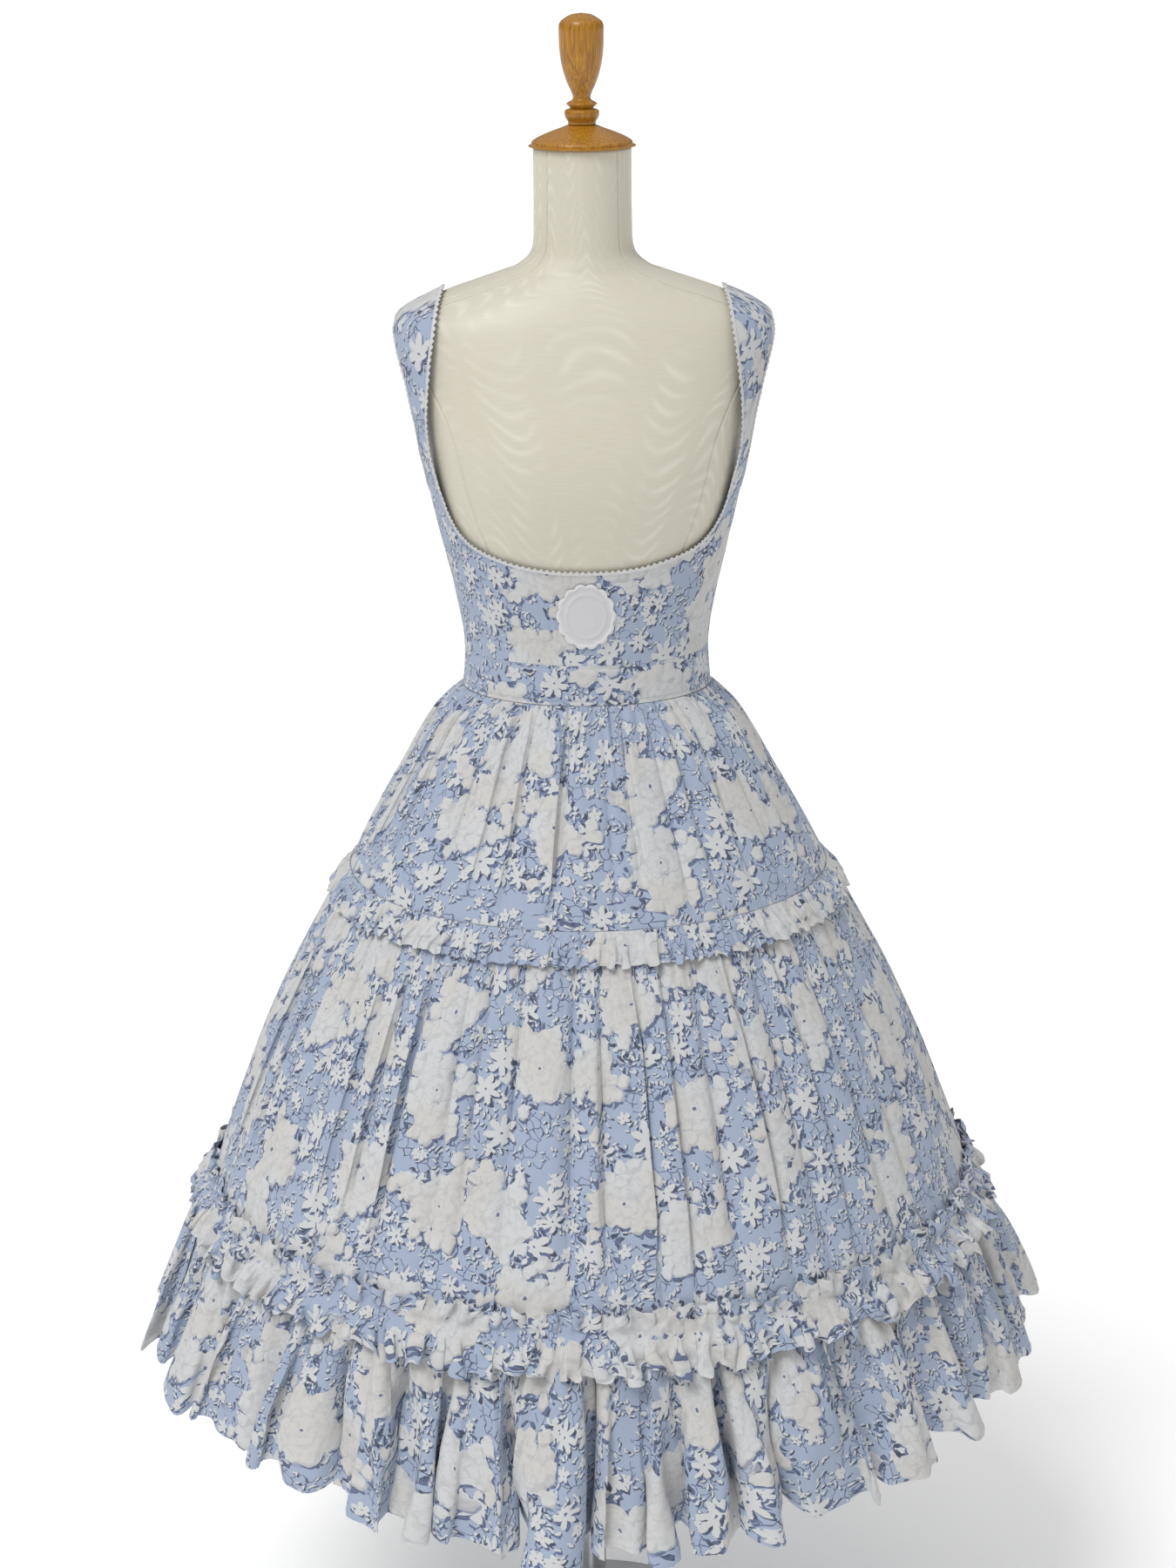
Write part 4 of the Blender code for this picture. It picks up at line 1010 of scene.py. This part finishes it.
# Skirt: three gathered tiers of the same lawn. Each is a straight strip joined into a ring
# and drawn up on gathering threads, so that it springs out below its seam in soft folds.
SKIRT_SECTIONS = (  # drop below the waist seam, half width, depth as a share of it
    (0.000, 0.1227, 0.780), (0.030, 0.1490, 0.805), (0.092, 0.1860, 0.860),
    (0.185, 0.2390, 0.920), (0.316, 0.3060, 0.960), (0.412, 0.3480, 0.985),
    (0.518, 0.3900, 1.000), (0.600, 0.4130, 1.000), (0.708, 0.4400, 1.000),
)
UPPER_TIER_DROP, MIDDLE_TIER_DROP, HEM_DROP = 0.185, 0.518, 0.713
SIDE_SEAM_TURN = math.radians(8.0)
HEM_SIDE_RISE, HEM_FOLD_HANG = 0.034, 0.46
HEM_LOOPS, HEM_LOOP_HEIGHT, HEM_GATHERS, HEM_GATHER_HEIGHT = 52, 0.0125, 104, 0.0062
TURNED_HEM, TURNED_HEM_STEP = 0.955, 0.0008  # share down where it starts, how far it stands out
UPPER_GRID, MIDDLE_GRID, HEM_GRID = (840, 40), (960, 46), (1040, 44)  # columns round, rows down
UPPER_FOLDS = (  # width as a share of the mean fold, height of the crest in millimetres
    (0.9, 5.0), (1.2, 8.0), (0.7, 4.5), (1.3, 9.0), (1.0, 6.0), (0.8, 5.0), (1.3, 8.5),
    (1.4, 7.0), (0.7, 4.5), (1.1, 8.0), (0.8, 5.5), (1.2, 8.0), (0.9, 5.0), (1.2, 8.5),
    (0.8, 5.5), (0.7, 5.0),
)
MIDDLE_FOLDS = (  # the same columns, as in the tables of folds and waves below
    (0.9, 7.0), (1.2, 10.0), (0.8, 6.0), (1.0, 9.0), (1.4, 8.0), (0.8, 6.5), (0.9, 9.5),
    (1.3, 11.0), (0.7, 6.0), (1.0, 8.0), (1.5, 9.0), (0.8, 10.0), (1.1, 7.0), (0.8, 9.5),
    (1.0, 7.5), (1.2, 11.0), (0.9, 8.0), (0.8, 9.0), (1.3, 12.0), (1.0, 8.0), (0.8, 7.0),
    (1.1, 10.0), (0.9, 8.0), (0.8, 7.0),
)
HEM_FOLDS = (
    (0.85, 26.0), (1.50, 36.0), (1.36, 30.0), (1.12, 34.0), (0.92, 28.0), (0.73, 22.0),
    (0.95, 30.0), (1.12, 46.0), (0.65, 22.0), (0.49, 18.0), (0.58, 24.0), (0.70, 42.0),
    (1.07, 26.0), (1.17, 34.0), (1.17, 28.0), (1.72, 38.0), (0.90, 26.0),
)
BACK_HEM_FOLDS = (
    (1.40, 54.0), (1.00, 30.0), (1.20, 36.0), (0.80, 26.0), (1.10, 34.0), (0.90, 28.0),
    (1.20, 40.0), (0.70, 24.0), (1.00, 36.0), (1.20, 30.0), (0.80, 26.0), (1.10, 40.0),
    (0.90, 28.0), (0.80, 26.0), (1.20, 38.0), (1.00, 30.0), (1.40, 54.0),
)
# How full the folds are: share down, share of their height
UPPER_FULLNESS = ((0.0, 0.0), (0.16, 0.80), (0.50, 1.0), (0.80, 0.70), (1.0, 0.10))
MIDDLE_FULLNESS = ((0.0, 0.05), (0.16, 0.50), (0.45, 1.0), (0.62, 0.95), (1.0, 0.10))
HEM_FULLNESS = ((0.0, 0.04), (0.24, 0.30), (0.60, 0.72), (1.0, 1.0))


def skirt_point(angle, drop, outward):
    """A point of the skirt without its folds, moved outward by a length."""
    half_width, depth_share = read_table(SKIRT_SECTIONS, drop)
    x = (half_width + outward) * math.cos(angle)
    y = (half_width * depth_share + outward) * math.sin(angle)
    flare = max((drop - MIDDLE_TIER_DROP) / (HEM_DROP - MIDDLE_TIER_DROP), 0.0)
    off_centre = math.atan2(abs(math.cos(angle)), abs(math.sin(angle)))
    swing = math.sin(min(1.5 * off_centre, math.pi / 2.0)) ** 2
    return Vector((x, y, -drop + HEM_SIDE_RISE * flare * swing))


def ring_angle(share):
    """The first half of a ring runs over the front from the left side seam, then the back."""
    share %= 1.0
    if share < 0.5:
        return math.pi + SIDE_SEAM_TURN + (math.pi - 2.0 * SIDE_SEAM_TURN) * share * 2.0
    return -SIDE_SEAM_TURN + (math.pi + 2.0 * SIDE_SEAM_TURN) * (share - 0.5) * 2.0


def fold_ring(front, back):
    """Where folds start round a ring, and how high their crests stand in metres."""
    edges, heights = [0.0], []
    for half, folds in ((0.0, front), (0.5, back[::-1])):
        total = sum(width for width, _ in folds)
        passed = 0.0
        for width, height in folds:
            passed += width
            edges.append(half + 0.5 * passed / total)
            heights.append(height / 1000.0)
    edges[-1] = 1.0
    return edges, heights


def fold_at(ring, share, pinch):
    """Fold number, phase across it and lift of the cloth; a high pinch makes valleys narrow."""
    edges, heights = ring
    share %= 1.0
    index = min(max(bisect.bisect_right(edges, share) - 1, 0), len(heights) - 1)
    phase = (share - edges[index]) / (edges[index + 1] - edges[index])
    before, own, after = heights[index - 1], heights[index], heights[(index + 1) % len(heights)]
    valley = -0.25 * ((before + own) * (1.0 - phase) + (own + after) * phase)
    rise = math.sin(math.pi * phase) ** pinch
    return index, phase, valley + (0.5 * own - valley) * rise


def fold_lean(ring, index, phase, least, most):
    """How far round a fold's cloth leans over its neighbour, as a share of the ring."""
    edges, _ = ring
    width = edges[index + 1] - edges[index]
    wild = math.sin(index * 12.9898 + 4.1) * 43758.5453 % 1.0
    side = 1.0 if wild < 0.68 else -1.0
    reach = least + (most - least) * (wild * 7.31 % 1.0)
    return side * reach * width * math.sin(math.pi * phase) ** 2


def round_noise(share, drop, grain, stretch, seed):
    """Noise that joins up round a ring: grain is its fineness round, stretch down."""
    angle = 2.0 * math.pi * share
    place = (grain * math.cos(angle), grain * math.sin(angle), drop * stretch + seed)
    return noise.noise(Vector(place))


def small_gathers(share, drop, count, seed):
    """The little tucks that the gathering thread leaves, from about -1 to 1."""
    sway = 0.9 * round_noise(share, drop, 9.0, 2.0, seed)
    height = 0.65 + 0.5 * round_noise(share, 0.0, 14.0, 0.0, seed + 7.0)
    rise = abs(math.sin(math.pi * count * share + 1.5 * sway)) ** 0.8
    return height * (2.0 * rise - 1.0)


def loops(share, drop, count, seed):
    """The loops of tightly gathered cloth: how far out, from about -1 to 1, and how far round."""
    turn = 2.0 * math.pi * (count * share + 0.7 * round_noise(share, drop, 9.0, 1.5, seed))
    height = 0.75 + 0.9 * round_noise(share, drop, 31.0, 2.0, seed + 5.0)
    return height * math.sin(turn), -0.09 * math.sin(2.0 * turn) / count


def tier_place_for(ring, fullness, top, bottom, pinch, depth, lean, wander, gathers, seed):
    """Places for a tier that is sewn in at both edges. Of its folds, lean gives the least, the
    most and how soon, and wander how far, its grain round and its stretch down. Of its gathers,
    it takes the count, the height, how far down they reach, how much that varies, and how soon
    they start."""
    least, most, soon = lean
    count, height, reach, vary, start = gathers

    def place(across, down):
        swell = read_table(fullness, down)[0]
        drift = wander[0] * round_noise(across, down, wander[1], wander[2], seed + 2.0) * down
        index, phase, lift = fold_at(ring, across + drift, pinch)
        leaning = fold_lean(ring, index, phase, least, most) * min(swell * soon, 1.0)
        lift *= swell * depth
        fade = reach + vary * round_noise(across, 0.0, 11.0, 0.0, seed + 4.0)
        fade = max(0.0, 1.0 - down / fade) ** 1.2
        tucks = small_gathers(across, down, count, seed)
        lift += height * tucks * fade * min(down / start, 1.0)
        drop = top + HALF_SEAM + (bottom - top - 2.0 * HALF_SEAM) * down
        return skirt_point(ring_angle(across + leaning), drop, lift)

    return place


upper_place = tier_place_for(
    fold_ring(UPPER_FOLDS, UPPER_FOLDS), UPPER_FULLNESS, 0.0, UPPER_TIER_DROP,
    pinch=0.6, depth=1.3, lean=(0.10, 0.42, 1.4), wander=(0.004, 4.0, 1.6),
    gathers=(57, 0.0042, 0.55, 0.35, 0.04), seed=1.0,
)
upper_tier = fabric_sheet(
    "upper_tier_cloth", *UPPER_GRID, upper_place, lawn, CLOTH_WALL, closed=True,
)
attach(upper_tier, "root")
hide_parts("tier_upper_front", "tier_upper_back")

middle_place = tier_place_for(
    fold_ring(MIDDLE_FOLDS, MIDDLE_FOLDS), MIDDLE_FULLNESS, UPPER_TIER_DROP, MIDDLE_TIER_DROP,
    pinch=0.5, depth=1.5, lean=(0.12, 0.46, 1.3), wander=(0.003, 5.0, 1.8),
    gathers=(112, 0.0026, 0.34, 0.30, 0.02), seed=11.0,
)
middle_tier = fabric_sheet(
    "middle_tier_cloth", *MIDDLE_GRID, middle_place, lawn, CLOTH_WALL, closed=True,
)
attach(middle_tier, "root")
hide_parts("tier_middle_front", "tier_middle_back")

hem_ring = fold_ring(HEM_FOLDS, BACK_HEM_FOLDS)


def hem_place(across, down):
    """A point of the flounce, whose folds and loops open out down to a free edge. An outward
    fold hangs lower than an inward one."""
    swell = read_table(HEM_FULLNESS, down)[0]
    drift = 0.006 * round_noise(across, down, 6.0, 1.5, 29.0)
    index, phase, lift = fold_at(hem_ring, across + drift, 0.85)
    lift = (lift - 0.8 * max(-lift, 0.0)) * swell
    lift += 0.0060 * round_noise(across, down, 22.0, 1.2, 23.0) * swell
    out, along = loops(across, 0.6 * down, HEM_LOOPS, 61.0)
    lift += HEM_LOOP_HEIGHT * out * swell
    width = hem_ring[0][index + 1] - hem_ring[0][index]
    open_out = min(down * 1.4, 1.0)
    shift = fold_lean(hem_ring, index, phase, 0.12, 0.42) * open_out
    shift -= 0.08 * math.sin(2.0 * math.pi * phase) * width * open_out
    shift += 1.3 * along * swell
    fade = max(0.0, 1.0 - down / (0.70 + 0.4 * round_noise(across, 0.0, 13.0, 0.0, 25.0)))
    tucks = small_gathers(across, down, HEM_GATHERS, 21.0)
    reach = lift + HEM_GATHER_HEIGHT * tucks * fade * min(down / 0.03, 1.0)
    reach += 0.004 * round_noise(across, down, 34.0, 2.5, 27.0) * down
    reach += TURNED_HEM_STEP * (down > TURNED_HEM)
    drop = MIDDLE_TIER_DROP + HALF_SEAM + (HEM_DROP - MIDDLE_TIER_DROP - HALF_SEAM) * down
    point = skirt_point(ring_angle(across + shift), drop, reach)
    point.z -= HEM_FOLD_HANG * lift * down
    return point


hem_tier = fabric_sheet(
    "hem_flounce_cloth", *HEM_GRID, hem_place, lawn, CLOTH_WALL, closed=True,
)
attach(hem_tier, "root")
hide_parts("tier_hem_front", "tier_hem_back")


# Frills: narrow strips of the lawn, gathered and sewn over the two tier seams. The upper one
# is sewn by its top edge; the lower one is stitched along a line inside both its edges.
FRILL_DROP = 0.027
HEADING_RISE, FLANGE_DROP = 0.021, 0.034
LEAST_AIR = 0.0004
FRILL_GRID, FLANGE_GRID = (1080, 15), (1400, 26)  # columns round, rows down
FRILL_LOOPS, FRILL_LOOP_HEIGHT, FRILL_GATHERS, FRILL_GATHER_HEIGHT = 88, 0.0028, 150, 0.0012
FLANGE_LOOPS, FLANGE_LOOP_HEIGHT, FLANGE_GATHERS, FLANGE_GATHER_HEIGHT = 92, 0.0062, 170, 0.0018
FRILL_WAVES = (
    (1.0, 6.0), (1.2, 9.0), (0.8, 5.0), (1.1, 8.0), (0.9, 6.0), (1.2, 9.0), (0.7, 5.0),
    (1.1, 8.0), (1.3, 7.0), (0.8, 6.0), (1.0, 9.0), (0.9, 6.0), (1.2, 8.0), (0.8, 5.0),
    (1.1, 9.0), (0.9, 6.0), (1.0, 8.0), (1.2, 7.0), (0.8, 8.0), (1.0, 6.0),
)
FLANGE_WAVES = (
    (1.0, 10.0), (0.8, 7.0), (1.3, 14.0), (0.9, 9.0), (1.1, 12.0), (0.7, 8.0), (1.2, 14.0),
    (1.0, 9.0), (0.8, 11.0), (1.3, 13.0), (0.9, 8.0), (1.0, 12.0), (1.2, 10.0), (0.8, 9.0),
    (1.1, 13.0), (0.9, 9.0), (1.2, 12.0), (0.8, 8.0), (1.0, 13.0), (1.1, 10.0), (0.8, 12.0),
    (1.0, 9.0),
)
FRILL_PROFILE = (  # share of the depth, air outside the skirt, share of the wave
    (0.0, 0.0008, 0.0), (0.12, 0.0012, 0.10), (0.40, 0.0040, 0.65), (1.0, 0.0066, 1.0),
)
FLANGE_PROFILE = (  # fall from the stitching in metres, air, share of the wave
    (-HEADING_RISE, 0.0036, 0.75), (-HEADING_RISE * 0.4, 0.0030, 0.50), (0.0, 0.0012, 0.05),
    (FLANGE_DROP * 0.45, 0.0080, 0.60), (FLANGE_DROP, 0.0125, 1.0),
)
frill_ring = fold_ring(FRILL_WAVES, FRILL_WAVES)
flange_ring = fold_ring(FLANGE_WAVES, FLANGE_WAVES)


def frill_place(across, down):
    """A point of the upper frill, from its seam down to its free edge."""
    air, wave = read_table(FRILL_PROFILE, down)
    _, _, lift = fold_at(frill_ring, across, 0.8)
    out, along = loops(across, down, FRILL_LOOPS, 33.0)
    lift = (0.30 * lift + FRILL_LOOP_HEIGHT * out) * wave
    tucks = small_gathers(across, down, FRILL_GATHERS, 31.0)
    lift += FRILL_GATHER_HEIGHT * tucks * min(down * 6.0, 1.0)
    reach = max(air + lift, LEAST_AIR) + CLOTH_WALL
    angle = ring_angle(across + along * wave)
    point = skirt_point(angle, UPPER_TIER_DROP + FRILL_DROP * down, reach)
    point.z += 0.004 * round_noise(across, down, 40.0, 1.0, 37.0) * wave
    return point


frill_upper = fabric_sheet(
    "upper_frill_cloth", *FRILL_GRID, frill_place, lawn, CLOTH_WALL, closed=True,
)
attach(frill_upper, "root")
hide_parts("frill_upper_front", "frill_upper_back")


def flange_place(across, down):
    """A point of the double frill, from its upper free edge over the stitching to its lower."""
    fall = -HEADING_RISE + (HEADING_RISE + FLANGE_DROP) * down
    air, wave = read_table(FLANGE_PROFILE, fall)
    _, _, lift = fold_at(flange_ring, across, 0.9)
    out, along = loops(across, down, FLANGE_LOOPS, 43.0)
    crumple = round_noise(across, down, 44.0, 3.5, 41.0) * 0.007 * wave
    lift = (0.40 * lift + FLANGE_LOOP_HEIGHT * out) * wave
    tucks = small_gathers(across, down, FLANGE_GATHERS, 45.0)
    lift += FLANGE_GATHER_HEIGHT * tucks * min(wave * 3, 1.0)
    reach = max(air + lift + crumple, LEAST_AIR) + CLOTH_WALL
    swerve = 0.0030 * round_noise(across, down, 48.0, 2.5, 47.0) * wave
    angle = ring_angle(across + along * wave * 1.4 + swerve)
    point = skirt_point(angle, MIDDLE_TIER_DROP + fall, reach)
    point.z += 0.011 * round_noise(across, down, 24.0, 1.2, 53.0) * wave
    point.z += 0.006 * round_noise(across, down, 62.0, 3.0, 57.0) * wave
    return point


frill_lower = fabric_sheet(
    "lower_frill_cloth", *FLANGE_GRID, flange_place, lawn, CLOTH_WALL, closed=True,
)
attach(frill_lower, "root")
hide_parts("frill_lower_front", "frill_lower_back")
